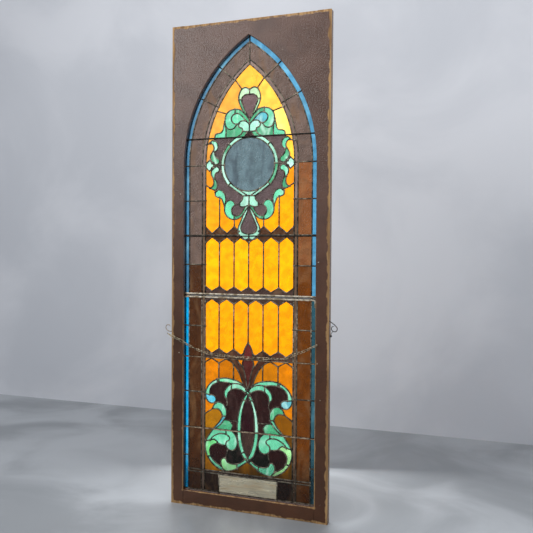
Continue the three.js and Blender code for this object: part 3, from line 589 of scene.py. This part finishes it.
MINT, PALE, LEAF, BLUISH = (112, 200, 162), (160, 214, 190), (78, 160, 118), (95, 178, 188)
GROUND, WINE, BLACK = (92, 78, 78), (44, 20, 18), (20, 20, 15)
UPPER_PANES = {
    # The amber panes of the upper field are paler high up and on the right: painted reflection of the front light on
    # the glass.
    "amber": [(5, 2050, (238, 165, 50)), (100, 1940, (242, 178, 70)),
              (-100, 1940, (222, 155, 55)), (195, 1800, (250, 212, 110)), (-195, 1800, (206, 144, 52)),
              (208, 1690, (246, 180, 60)), (-208, 1690, (204, 142, 50)), (208, 1570, (228, 140, 10)),
              (-208, 1570, (204, 132, 10))],
    "green": [(44, 1950, (190, 225, 170)), (-44, 1950, (185, 222, 175)), (5, 1970, PALE), (100, 1860, MINT),
              (-100, 1860, MINT), (60, 1880, LEAF), (-60, 1880, LEAF), (70, 1850, BLUISH), (-70, 1850, MINT),
              (20, 1810, PALE), (-20, 1810, PALE), (45, 1790, LEAF), (-45, 1790, LEAF), (130, 1775, MINT),
              (-130, 1775, MINT), (150, 1770, LEAF), (-150, 1770, LEAF), (95, 1735, PALE), (-95, 1735, PALE),
              (170, 1735, MINT), (-170, 1735, MINT), (170, 1670, LEAF), (-170, 1670, LEAF), (200, 1633, PALE),
              (-200, 1633, PALE), (165, 1610, MINT), (-165, 1610, MINT), (170, 1540, LEAF), (-170, 1540, LEAF),
              (125, 1490, MINT), (-125, 1490, MINT), (15, 1460, PALE), (-15, 1460, PALE), (35, 1446, LEAF),
              (-35, 1446, LEAF), (105, 1430, MINT), (-105, 1430, MINT), (45, 1390, LEAF), (-45, 1390, LEAF),
              (12, 1410, PALE), (-12, 1410, PALE), (46, 1330, MINT), (-46, 1330, MINT), (125, 1679, PALE),
              (-125, 1679, LEAF), (125, 1587, LEAF), (-125, 1587, PALE), (77, 1742, MINT), (-77, 1742, PALE),
              (67, 1517, PALE), (-67, 1517, MINT), (38, 1900, (175, 220, 170)), (-38, 1900, LEAF),
              (32, 1768, LEAF), (-32, 1768, LEAF), (0, 1297, MINT)],
    "medallion": [(3, 1633, (104, 124, 130))],
    "ground": [(3, 1920, (105, 85, 85)), (3, 1350, GROUND), (155, 1690, GROUND), (-155, 1690, GROUND),
               (110, 1790, GROUND), (-110, 1790, GROUND), (150, 1580, GROUND), (-150, 1580, GROUND),
               (100, 1500, GROUND), (-100, 1500, GROUND), (60, 1420, GROUND), (-60, 1420, GROUND),
               (80, 1810, GROUND), (-80, 1810, GROUND), (3, 1500, WINE), (0, 1775, WINE)],
    "brown": [(3, 1283, (70, 45, 25))],
}
LOWER_PANES = {
    "green": [(100, 615, MINT), (-100, 615, (120, 205, 160)), (200, 570, MINT), (-200, 570, MINT),
              (205, 525, BLUISH), (-205, 525, (90, 190, 210)), (40, 590, PALE), (-40, 590, LEAF), (60, 590, MINT),
              (-60, 590, MINT), (112, 555, MINT), (-112, 555, MINT), (150, 490, LEAF), (-150, 490, MINT),
              (118, 460, PALE), (-118, 460, MINT), (148, 400, MINT), (-148, 400, BLUISH), (30, 599, MINT), (-30, 599, LEAF), (100, 400, LEAF), (-100, 400, LEAF), (35, 470, PALE),
              (-35, 470, MINT), (44, 400, MINT), (-44, 400, PALE), (42, 330, MINT), (-42, 330, MINT),
              (70, 350, MINT), (-70, 350, MINT), (75, 310, PALE), (-75, 310, (60, 170, 140)), (95, 300, MINT),
              (-95, 300, BLUISH), (130, 345, MINT), (-130, 345, MINT), (205, 290, (160, 215, 150)),
              (-205, 290, (115, 200, 130)), (180, 225, (160, 215, 150)), (-180, 225, MINT), (120, 190, MINT),
              (-120, 190, (150, 215, 150)), (30, 228, PALE), (-30, 228, MINT), (80, 206, PALE), (-80, 206, MINT),
              (120, 225, MINT), (-120, 225, PALE), (175, 315, MINT), (-175, 315, MINT), (20, 262, MINT),
              (-20, 262, PALE), (8, 540, MINT), (-8, 540, PALE), (130, 365, MINT), (-130, 365, MINT)],
    "ground": [(3, 400, (44, 12, 20)), (80, 480, WINE), (-80, 480, WINE), (150, 550, WINE), (-150, 550, WINE),
               (70, 545, WINE), (-70, 545, WINE), (-60, 405, WINE), (60, 405, WINE),
               (150, 270, WINE), (-150, 270, WINE), (80, 250, BLACK), (-80, 250, BLACK), (125, 295, WINE),
               (-125, 295, WINE), (3, 760, (95, 40, 35)), (3, 700, (80, 35, 30)), (3, 650, (60, 28, 24))],
    "brown": [(60, 700, (70, 40, 28)), (-60, 700, (70, 40, 28)), (35, 650, (80, 55, 40)), (-35, 650, (80, 55, 40)),
              (110, 728, (78, 50, 40)), (-110, 728, (78, 50, 40)), (73, 735, (62, 40, 32)),
              (-73, 735, (62, 40, 32)), (185, 120, (45, 28, 20)), (-185, 120, (45, 28, 20))],
    "opal": [(3, 120, (225, 218, 195))],
    # The lower amber panes are dark brown: painted shade of the dim floor and wall seen through them.
    "amber": [(200, 440, (120, 76, 4)), (-200, 440, (140, 95, 8)), (180, 400, (120, 76, 4)),
              (-180, 400, (150, 100, 8)), (200, 195, (90, 60, 8)), (-200, 195, (110, 78, 8)),
              (50, 192, (90, 60, 8)), (-50, 192, (90, 60, 8)), (206, 350, (110, 70, 8)), (-206, 350, (110, 70, 8)),
              (60, 660, (170, 105, 0)), (-60, 660, (160, 95, 0)), (40, 725, (200, 130, 0)),
              (-40, 725, (190, 120, 0))],
}


def by_place(x, z, half):
    """Kind and tint of a border pane or a quarry, from where its middle lies."""
    if half > BLUE_LINE:
        left_tint = (5, 140, 185) if z < 1000 else (60, 108, 135)
        right_tint = (42, 76, 86) if z < 1000 else (72, 130, 160)
        return "blue", left_tint if x < 0 else right_tint
    if half > FILLET_OUTER:
        if z < 1100:
            return "brown", (70, 40, 16) if x < 0 else (100, 55, 8)
        return "brown", (100, 84, 76) if x < 0 or z > 1650 else (124, 78, 44)
    if half > FILLET_INNER:
        return "fillet", (124, 106, 98) if z > 1500 else (98, 78, 62)
    if 1285 <= z < 1335:
        return "brown", (74, 46, 26)
    # Amber rows step darker towards the foot: painted shade of the dimmer floor and wall behind the lower glass. The
    # upper rows are lighter on the right: painted reflection.
    if z > 1300:
        return "amber", (240, 152, 0) if x > 0 else (222, 140, 0)
    if 1058 < z < 1285:
        return "amber", (240, 156, 0)
    if 760 < z < 985:
        return "amber", (230, 146, 0)
    if 560 < z < 716:
        return "amber", (180, 108, 0)
    return "brown", (66, 50, 44)


DEEPEN = 1.1


def glazing(lines, seeds, foot, head):
    """Panes of one panel by kind: {kind: [(points, faces, tints)]}. Triangles outside the panel are
    left out. A pane with a seed takes its kind and tint, the others take theirs from their place."""
    spots, triangles, pane = cut(lines)
    middle = spots[triangles].mean(axis=1)
    a, b, c = (spots[triangles[:, i]] for i in range(3))
    area = np.abs((b - a)[:, 0] * (c - a)[:, 1] - (b - a)[:, 1] * (c - a)[:, 0]) / 2
    kept = (half_width(middle[:, 0], middle[:, 1]) < RIM_LINE + 0.5) & (middle[:, 1] > foot) & (middle[:, 1] < head)
    given = {}
    for kind, places in seeds.items():
        for x, z, tint in places:
            where_in = holder(spots, triangles, (x + 0.13, z + 0.17))
            if where_in is not None:
                given.setdefault(int(pane[where_in]), (kind, tint))
    chosen = {}
    for number in np.unique(pane[kept]).tolist():
        own = np.flatnonzero((pane == number) & kept)
        share = area[own] / max(area[own].sum(), 1e-9)
        x, z = (middle[own] * share[:, None]).sum(axis=0)
        kind, tint = given.get(number) or by_place(x, z, float(half_width(x, z)))
        if number not in given and area[own].sum() < 150 and 160 < z < 2000 and abs(x) < FILLET_INNER:
            kind, tint = "ground", WINE
        shade = 1 + 0.09 * math.sin(number * 12.9898 + x * 0.31 + z * 0.17)
        light = np.array(linear(*tint)[:3]) ** DEEPEN * shade
        chosen.setdefault(kind, []).append((own, light))
    return spots, triangles, chosen


def pane_sheets(spots, triangles, groups, back=EYE_LINE):
    """A front and a back sheet over the triangles of some panes, with walls round their rim."""
    own = np.concatenate([indexes for indexes, _ in groups])
    tints = np.concatenate([np.tile(light, (len(indexes), 1)) for indexes, light in groups])
    corners = triangles[own]
    a, b, c = (spots[corners[:, i]] for i in range(3))
    flip = (b - a)[:, 0] * (c - a)[:, 1] - (b - a)[:, 1] * (c - a)[:, 0] < 0
    corners = np.where(flip[:, None], corners[:, ::-1], corners)
    used, corners = np.unique(corners, return_inverse=True)
    corners = corners.reshape(-1, 3)
    flat = spots[used]
    count = len(flat)
    front = np.column_stack((flat[:, 0], np.full(count, -back), flat[:, 1]))
    rear = np.column_stack((flat[:, 0], np.full(count, back), flat[:, 1]))
    sides = np.stack((corners, np.roll(corners, -1, axis=1)), axis=2).reshape(-1, 2)
    keys = np.sort(sides, axis=1)
    keys = keys[:, 0] * count + keys[:, 1]
    _, first, many = np.unique(keys, return_index=True, return_counts=True)
    rim = sides[first[many == 1]]
    rim_tint = tints[first[many == 1] // 3]
    walls = np.column_stack((rim[:, 0], rim[:, 0] + count, rim[:, 1] + count, rim[:, 1]))
    faces = corners.tolist() + (corners[:, ::-1] + count).tolist() + walls.tolist()
    return np.vstack((front, rear)), faces, np.vstack((tints, tints, rim_tint))


streaks, takes, gives = new_group(
    "streaky_sheet",
    [("Place", "NodeSocketVector", None), ("Tint", "NodeSocketColor", None), ("Streak", "NodeSocketColor", None),
     ("Amount", "NodeSocketFloat", 0.4), ("Scale", "NodeSocketFloat", 12.0), ("Relief", "NodeSocketFloat", 120.0)],
    [("Colour", "NodeSocketColor"), ("Height", "NodeSocketFloat"), ("Roughness", "NodeSocketFloat")])
long_way = stretched(streaks, takes["Place"], 1.0, 1.0, 0.35)
flow = noise_of(streaks, long_way, takes["Scale"], 4.0, 1.6)
share = math_of(streaks, "MULTIPLY", ramp_of(streaks, flow, 0.48, 0.68), takes["Amount"])
cloudy = blend_of(streaks, share, takes["Tint"], takes["Streak"])
mottle = ramp_of(streaks, noise_of(streaks, takes["Place"], 26.0, 5.0, 0.5), 0.3, 0.7, 0.78, 1.12)
toned = put(streaks, "ShaderNodeVectorMath", {0: cloudy, "Scale": mottle}, operation="SCALE").outputs[0]
streaks.links.new(toned, gives["Colour"])
streaks.links.new(noise_of(streaks, takes["Place"], takes["Relief"], 3.0, 0.2), gives["Height"])
streaks.links.new(ramp_of(streaks, flow, 0.3, 0.7, 0.22, 0.4), gives["Roughness"])

GLASSES = {
    # kind: streak colour, amount, streak scale, relief scale, relief depth, see-through
    "blue": ((120, 180, 200), 0.35, 8.0, 70.0, 0.0008, 0.9),
    "brown": ((110, 80, 50), 0.4, 14.0, 120.0, 0.0035, 0.8),
    "fillet": ((150, 132, 122), 0.4, 10.0, 90.0, 0.0008, 0.8),
    "amber": ((225, 142, 0), 0.3, 4.0, 60.0, 0.0007, 0.92),
    "green": ((205, 235, 220), 0.5, 16.0, 90.0, 0.0008, 0.75),
    "medallion": ((70, 84, 92), 0.8, 20.0, 90.0, 0.0018, 0.7),
    "ground": ((70, 50, 46), 0.3, 20.0, 130.0, 0.0045, 0.8),
    "opal": ((190, 160, 110), 0.6, 14.0, 60.0, 0.0006, 0.5),
}
glass_finish = {}
for kind, (streak, amount, scale, relief, depth, clear) in GLASSES.items():
    material, tree, shader, where = new_material(f"{kind}_glass")
    tint = put(tree, "ShaderNodeAttribute", attribute_name="tint").outputs["Color"]
    if kind == "opal":
        where = stretched(tree, where, 0.3, 1.0, 6.0)
    sheet = put(tree, "ShaderNodeGroup", node_tree=streaks)
    for label, value in (("Place", where), ("Tint", tint)):
        tree.links.new(value, sheet.inputs[label])
    for label, value in (("Streak", linear(*streak)), ("Amount", amount), ("Scale", scale), ("Relief", relief)):
        sheet.inputs[label].default_value = value
    tree.links.new(sheet.outputs["Colour"], shader.inputs["Base Color"])
    tree.links.new(sheet.outputs["Roughness"], shader.inputs["Roughness"])
    bump_into(tree, shader, sheet.outputs["Height"], depth)
    shader.inputs["Transmission Weight"].default_value = clear
    shader.inputs["IOR"].default_value = 1.35
    glass_finish[kind] = material

PANELS = (
    ("upper", upper_cames, UPPER_PANES, UPPER_EDGE, 3000, {
        "blue": ["blue_border_upper"], "fillet": ["fillet_upper"], "medallion": ["medallion"],
        "brown": ["brown_border_upper", "brown_quarries_left", "brown_quarries_right", "brown_quarries_above_rail"],
        "amber": ["amber_field_top", "amber_row_one_left", "amber_row_one_right", "amber_row_two"],
        "green": ["green_ornament_upper"],
        "ground": ["teardrop_top", "teardrop_bottom", "purple_ground_left", "purple_ground_right"]}),
    ("lower", lower_cames, LOWER_PANES, FOOT_EDGE, LOWER_EDGE, {
        "blue": ["blue_border_lower_left", "blue_border_lower_right"],
        "fillet": ["fillet_lower_left", "fillet_lower_right"],
        "brown": ["brown_border_lower_left", "brown_border_lower_right", "brown_quarries_below_rail",
                  "brown_quarries_and_leaves", "brown_square_left", "brown_square_right"],
        "amber": ["amber_row_three", "amber_row_four_left", "amber_row_four_right", "amber_side_left",
                  "amber_side_right", "amber_corner_left", "amber_corner_right", "amber_wedge"],
        "green": ["green_ornament_lower"], "opal": ["opal_panel"],
        "ground": ["fleur", "vesica", "burgundy_ground_left", "burgundy_ground_right", "burgundy_scroll_left",
                   "burgundy_scroll_right", "dark_ground_left", "dark_ground_right"]}),
)
for panel, lines, seeds, foot, head, stands_for in PANELS:
    spots, triangles, chosen = glazing(lines, seeds, foot, head)
    for kind, groups in chosen.items():
        points, faces, tints = pane_sheets(spots, triangles, groups)
        made = mesh_object(f"{panel}_{kind}_panes", points, faces, smooth=False)
        stain = made.data.attributes.new("tint", "FLOAT_COLOR", "FACE")
        stain.data.foreach_set("color", np.column_stack((tints, np.ones(len(tints)))).ravel())
        made.data.materials.append(glass_finish[kind])
        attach(made, "root")
        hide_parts(*stands_for[kind])

# ------------------------------------------------------------------ wooden sash
# Four boards round a pointed opening, painted dark brown with a gloss paint that has an orange
# peel skin. The outer edges and the inner arris of the lower part are worn to the bare wood.
WIDTH, HEIGHT, DEPTH = 780, 2300, 35
HEAD_JOINT = 1800
SEAM = 0.15
paint, tree, shader, where = new_material("sash_paint")
split = put(tree, "ShaderNodeSeparateXYZ", {0: where}).outputs
side = math_of(tree, "ABSOLUTE", split["X"])
to_side = math_of(tree, "SUBTRACT", WIDTH / 2 * MM, side)
to_head = math_of(tree, "SUBTRACT", HEIGHT * MM, split["Z"])
to_rim = math_of(tree, "MINIMUM", math_of(tree, "MINIMUM", to_side, to_head), split["Z"])
to_face = math_of(tree, "SUBTRACT", DEPTH / 2 * MM, math_of(tree, "ABSOLUTE", split["Y"]))
to_arris = math_of(tree, "ADD", math_of(tree, "MULTIPLY", to_rim, 0.6), to_face)
ragged = noise_of(tree, where, 26.0, 8.0, 0.3)
worn = ramp_of(tree, math_of(tree, "SUBTRACT", to_arris, math_of(tree, "MULTIPLY", ragged, 0.016)), -0.0035, -0.0005, 1.0, 0.0)
below = ramp_of(tree, split["Z"], 0.95, 1.05, 1.0, 0.0)
off_sight = math_of(tree, "ABSOLUTE", math_of(tree, "SUBTRACT", side, SIGHT * MM))
off_sight = math_of(tree, "MAXIMUM", off_sight, math_of(tree, "SUBTRACT", (SILL - 3) * MM, split["Z"]))
off_sill = math_of(tree, "ABSOLUTE", math_of(tree, "SUBTRACT", split["Z"], SILL * MM))
off_sill = math_of(tree, "MAXIMUM", off_sill, math_of(tree, "SUBTRACT", side, (SIGHT + 3) * MM))
to_opening = math_of(tree, "ADD", math_of(tree, "MINIMUM", off_sight, off_sill), math_of(tree, "MULTIPLY", to_face, 0.7))
rubbed = ramp_of(tree, math_of(tree, "SUBTRACT", to_opening, math_of(tree, "MULTIPLY", ragged, 0.009)), -0.003, 0.0, 1.0, 0.0)
worn = math_of(tree, "MAXIMUM", worn, math_of(tree, "MULTIPLY", rubbed, below))
chips = ramp_of(tree, noise_of(tree, where, 38.0, 6.0, 0.2), 0.735, 0.76)
grain = noise_of(tree, stretched(tree, where, 60.0, 60.0, 3.0), 1.0, 6.0, 1.2)
wood = blend_of(tree, ramp_of(tree, grain, 0.3, 0.7), linear(128, 92, 52), linear(190, 150, 100))
# The coat is lighter and greyer towards the top, darker towards the bottom.
height_share = ramp_of(tree, split["Z"], 0.3, 2.1)
coat = blend_of(tree, height_share, linear(84, 50, 28), linear(100, 76, 66))
blotch = ramp_of(tree, noise_of(tree, where, 7.0, 5.0, 0.4), 0.3, 0.7, 0.8, 1.15)
coat = put(tree, "ShaderNodeVectorMath", {0: coat, "Scale": blotch}, operation="SCALE").outputs[0]
coat = blend_of(tree, chips, coat, linear(140, 120, 105))
tree.links.new(blend_of(tree, worn, coat, wood), shader.inputs["Base Color"])
tree.links.new(ramp_of(tree, worn, 0.0, 1.0, 0.22, 0.75), shader.inputs["Roughness"])
peel = noise_of(tree, where, 170.0, 3.0, 0.2)
bump_into(tree, shader, math_of(tree, "SUBTRACT", peel, math_of(tree, "MULTIPLY", worn, 0.6)), 0.002)


def board(name, outline, soft):
    """A board: an outline given thickness. Edges whose two ends pass soft are bevelled, the rest
    keep the sharp corner of a joint."""
    ring = np.array(outline, float)
    count = len(ring)
    front = np.column_stack((ring[:, 0], np.full(count, -DEPTH / 2), ring[:, 1]))
    points = np.vstack((front, front * (1, -1, 1)))
    here, after = np.arange(count), np.roll(np.arange(count), -1)
    area = (ring[here, 0] * ring[after, 1] - ring[after, 0] * ring[here, 1]).sum()
    faces = [here.tolist(), (here[::-1] + count).tolist()] + np.column_stack((after, here, here + count, after + count)).tolist()
    made = mesh_object(f"{name}_board", points, faces if area > 0 else [face[::-1] for face in faces], smooth=False)
    mesh = made.data
    ends = np.empty(len(mesh.edges) * 2, int)
    mesh.edges.foreach_get("vertices", ends)
    ends = ends.reshape(-1, 2)
    level = np.abs(points[ends[:, 0], 1] - points[ends[:, 1], 1]) < 1
    weight = np.where(level & soft(points[ends[:, 0]]) & soft(points[ends[:, 1]]), 1.0, 0.0)
    mesh.attributes.new("bevel_weight_edge", "FLOAT", "EDGE").data.foreach_set("value", weight)
    round_off = made.modifiers.new("worn edge", "BEVEL")
    round_off.limit_method = "WEIGHT"
    round_off.width = 3.5 * MM
    round_off.segments = 3
    mesh.materials.append(paint)
    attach(made, "root")
    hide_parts(name)


def on_rim(points):
    """True for points on the outer edge of the sash or on the edge of the opening."""
    x, z = np.abs(points[:, 0]), points[:, 2]
    arch = np.abs(half_width(points[:, 0], z) - SIGHT) < 0.3
    return (x > WIDTH / 2 - 1) | (z < 1) | (z > HEIGHT - 1) | (arch & (z > SILL)) | ((np.abs(z - SILL) < 1) & (x < SIGHT))


turn_at = math.degrees(math.asin((HEAD_JOINT - SPRING) / (ARCH_SHIFT + SIGHT)))
shoulder = arc(-ARCH_SHIFT, SPRING, ARCH_SHIFT + SIGHT, 0, turn_at)
stile = [(SIGHT + SEAM, 0), (WIDTH / 2, 0), (WIDTH / 2, HEIGHT), (SIGHT + SEAM, HEIGHT),
         (SIGHT + SEAM, HEAD_JOINT - SEAM), *shoulder[::-1], (SIGHT, SILL + SEAM), (SIGHT + SEAM, SILL)]
board("right_stile", stile, on_rim)
board("left_stile", mirror(stile), on_rim)
top_at = math.degrees(math.acos(ARCH_SHIFT / (ARCH_SHIFT + SIGHT)))
haunch = arc(-ARCH_SHIFT, SPRING, ARCH_SHIFT + SIGHT, turn_at, top_at)
board("head_board", [(SIGHT - SEAM, HEAD_JOINT + SEAM), (SIGHT - SEAM, HEIGHT), (-SIGHT + SEAM, HEIGHT),
                     (-SIGHT + SEAM, HEAD_JOINT + SEAM), *mirror(haunch)[:-1], *haunch[::-1]], on_rim)
board("bottom_rail", [(-SIGHT + SEAM, 0), (SIGHT - SEAM, 0), (SIGHT - SEAM, SILL), (-SIGHT + SEAM, SILL)], on_rim)

# ------------------------------------------------------------------ rails and saddle bars
# Two pale zinc rails cover the meeting of the panels. Four round bars cross in front of the leads
# and enter the stiles: two are blackened iron, the lower two thinner and pale with grime.
def metal(name, dark, bright, scale, rough, shine):
    """A metal with patches of grime: two colours mixed by a noise."""
    material, tree, shader, where = new_material(name)
    grime = noise_of(tree, where, scale, 6.0, 0.5)
    tree.links.new(blend_of(tree, ramp_of(tree, grime, 0.38, 0.62), linear(*dark), linear(*bright)),
                   shader.inputs["Base Color"])
    tree.links.new(ramp_of(tree, grime, 0.3, 0.7, rough + 0.15, rough), shader.inputs["Roughness"])
    shader.inputs["Metallic"].default_value = shine
    bump_into(tree, shader, noise_of(tree, where, scale * 5, 4.0), 0.0004)
    return material


zinc = metal("pale_zinc", (150, 132, 104), (228, 218, 198), 45.0, 0.4, 0.4)
iron = metal("dark_iron", (24, 22, 20), (62, 56, 50), 60.0, 0.45, 0.6)
grimy = metal("grimy_bar", (104, 84, 66), (176, 156, 130), 40.0, 0.4, 0.5)
brass = metal("dull_brass", (96, 84, 64), (214, 200, 170), 90.0, 0.35, 0.6)


def tube(path, radius, around=10):
    """A round wire: at each point a circle square to the path, turned so that it keeps its roll.
    Radius is one number or one for each point."""
    path = np.array(path, float)
    along = np.gradient(path, axis=0)
    along /= np.linalg.norm(along, axis=1)[:, None]
    first = np.cross(along, (0.13, 0.91, 0.39))
    first /= np.linalg.norm(first, axis=1)[:, None]
    second = np.cross(along, first)
    turn = np.linspace(0, 2 * np.pi, around, endpoint=False)
    size = np.broadcast_to(np.asarray(radius, float), (len(path),))[:, None, None]
    ring = first[:, None] * np.cos(turn)[:, None] + second[:, None] * np.sin(turn)[:, None]
    points = (path[:, None] + ring * size).reshape(-1, 3)
    a = (np.arange(len(path) - 1)[:, None] * around + np.arange(around)).ravel()
    b = (np.arange(len(path) - 1)[:, None] * around + np.roll(np.arange(around), -1)).ravel()
    faces = np.column_stack((a, b, b + around, a + around)).tolist()
    last = (len(path) - 1) * around
    return points, faces + [list(range(around))[::-1], list(range(last, last + around))]


def fitted(name, parts, material, slot, *nodes):
    """A finished piece from its parts, riding with the window in place of those nodes."""
    made = mesh_object(name, *gathered(parts))
    made.data.materials.append(material)
    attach(made, "root")
    if nodes:
        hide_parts(*nodes)
    return made


for node, material, slot in (("saddle_bar_top", iron, "dark_iron"), ("saddle_bar_upper", iron, "dark_iron"),
                             ("saddle_bar_middle", grimy, "pale_metal"), ("saddle_bar_lower", grimy, "pale_metal")):
    low, high = (np.array(corner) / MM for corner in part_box(node))
    x = np.linspace(low[0], high[0], 60)
    middle = (low + high) / 2
    sag = 0.35 * np.sin(x * 0.021) + 0.2 * np.sin(x * 0.057)
    radius = (high[2] - low[2]) / 2 - 0.5
    path = np.column_stack((x, np.full(60, middle[1]), middle[2] + sag))
    fitted(f"{node}_rod", [tube(path, radius, 14)], material, slot, node)

RAIL = np.array([(-3.5, -4.3), (-3.5, -6.6), (-2.6, -7.4), (2.6, -7.4), (3.5, -6.6), (3.5, -4.3)])
rail_end = SIGHT - 1
upper_rail = [(x, 1023.5 + 0.3 * math.sin(x * 0.02)) for x in np.linspace(-rail_end, rail_end, 40)]
lower_rail = [*[(x, 1007.5 + 0.3 * math.sin(x * 0.017)) for x in np.linspace(-rail_end, 312, 40)],
              *arc(rail_end - 11.5, 999.5, 8, 80, 0, 2), (rail_end - 3.5, 985), (rail_end - 3.5, 972.5)]
fitted("upper_rail_strip", [swept(upper_rail, RAIL)], zinc, "pale_metal", "upper_rail")
fitted("lower_rail_strip", [swept(lower_rail, RAIL)], zinc, "pale_metal", "lower_rail")

# ------------------------------------------------------------------ hooks, screws and chain
# Bent wire hooks are driven into the edges of the stiles. A chain of long wire links hangs from the
# left one, lies on the third saddle bar and ends on a screw in the right stile.
def bent_wire(points, radius, name, material, slot, *nodes, more=()):
    """Wire bent through points in space: the bent curve of its side view, with its depth carried straight between the
    points.
    """
    given = np.array(points, float)
    side_view = np.array(bent(given[:, [0, 2]], 1.5))
    far = np.hypot(*np.diff(side_view, axis=0).T).cumsum()
    marks = [np.abs(side_view - p).sum(axis=1).argmin() for p in given[:, [0, 2]]]
    depth = np.interp(np.arange(len(side_view)), marks, given[:, 1])
    path = np.column_stack((side_view[:, 0], depth, side_view[:, 1]))
    size = radius * np.minimum(1, 0.45 + np.arange(len(path))[::-1] / 12)
    return fitted(name, [tube(path, size), *more], material, slot, *nodes)


HOOK_Y = -8
edge = WIDTH / 2
bent_wire([(-edge + 20, HOOK_Y, 836), (-edge, HOOK_Y, 836), (-edge - 16, HOOK_Y, 836), (-edge - 30, HOOK_Y, 842),
           (-edge - 36.5, HOOK_Y, 854), (-edge - 30, HOOK_Y, 866), (-edge - 17, HOOK_Y, 866),
           (-edge - 13, HOOK_Y, 859)], 1.9, "left_hook_wire", grimy, "dull_brass", "left_hook")


def ball(centre, radius):
    """A small ball: circles of latitude from pole to pole, closed by a face at either end."""
    rise = np.linspace(-0.48 * np.pi, 0.48 * np.pi, 9)
    path = np.column_stack((np.zeros(9), np.zeros(9), radius * np.sin(rise))) + np.array(centre)
    return tube(path, radius * np.cos(rise), 14)


bent_wire([(edge - 20, HOOK_Y, 917), (edge, HOOK_Y, 917), (edge + 13, HOOK_Y, 909), (edge + 27, HOOK_Y, 898),
           (edge + 36, HOOK_Y, 885), (edge + 31, HOOK_Y, 873), (edge + 17, HOOK_Y, 872), (edge + 9, HOOK_Y, 883),
           (edge + 13, HOOK_Y, 893), (edge + 22, HOOK_Y, 894)], 1.9, "right_hook_wire", iron, "dark_iron",
          "right_hook", more=(ball((edge + 7, HOOK_Y, 850), 5.2),
                              tube([(edge + 16, HOOK_Y, 872), (edge + 10, HOOK_Y, 865), (edge + 7, HOOK_Y, 855)], 1.2)))

SCREW = (337, 809)
FRONT = -DEPTH / 2


def headed(x, z, head, reach_out):
    """A screw or nail: shank, flange and domed head as one turned profile along -Y."""
    y = np.array((2.0, -reach_out, -reach_out - 0.2, -reach_out - 1.2, -reach_out - 2.0)) + FRONT
    path = np.column_stack((np.full(5, x), y, np.full(5, z)))
    return tube(path, np.array((head * 0.45, head * 0.45, head, head * 0.9, head * 0.35)), 16)


fitted("chain_screw_turned", [headed(*SCREW, 4.8, 15)], zinc, "pale_metal", "chain_screw")
NAILS = ((-350, 736), (337, 724), (340, 1180), (-345, 1500), (352, 560))
fitted("stile_nails", [headed(x, z, 2.6, 0.2) for x, z in NAILS], zinc, "pale_metal")

LINK_LENGTH, LINK_WIDTH, LINK_WIRE = 31.0, 13.0, 1.6
route = [(-402, -20, 822), (-384, -26, 815), (-364, -27, 808), (-343, -26, 799), (-290, -20, 771),
         (-236, -15, 749), (-176, -13, 737), (-108, -13, 733), (-45, -13, 731), (42, -13, 731), (113, -13, 733),
         (181, -14, 737), (236, -19, 760), (296, -25, 787), (322, -26, 801)]
knots = np.array(route, float)
fine = np.array(bent(knots[:, [0, 2]], 2.0))
hang = np.column_stack((fine[:, 0], np.interp(fine[:, 0], knots[:, 0], knots[:, 1]), fine[:, 1]))
length = np.concatenate(([0], np.linalg.norm(np.diff(hang, axis=0), axis=1).cumsum()))
count = round(length[-1] / 24.6) + 1
turn = np.linspace(0, 2 * np.pi, 21)
oval = np.column_stack((np.cos(turn) * (LINK_WIDTH / 2 - LINK_WIRE) + np.sign(np.round(np.cos(turn), 6)) * 9,
                        np.sin(turn) * (LINK_WIDTH / 2 - LINK_WIRE)))
links = []
for number, place in enumerate(np.linspace(0, length[-1], count)):
    middle = np.array([np.interp(place, length, hang[:, axis]) for axis in range(3)])
    ahead_of = np.array([np.interp(place + 4, length, hang[:, axis]) for axis in range(3)])
    behind_of = np.array([np.interp(place - 4, length, hang[:, axis]) for axis in range(3)])
    along = ahead_of - behind_of
    along /= np.linalg.norm(along)
    level_to = np.cross((0, 0, 1), along)
    level_to /= np.linalg.norm(level_to)
    up_to = np.cross(along, level_to)
    roll = math.radians((45 if number % 2 else -45) + 14 * math.sin(number * 2.4))
    across = level_to * math.cos(roll) + up_to * math.sin(roll)
    links.append(tube(middle + oval[:, :1] * along + oval[:, 1:] * across, LINK_WIRE, 8))
fitted("chain_links", links, brass, "dull_brass", "chain")
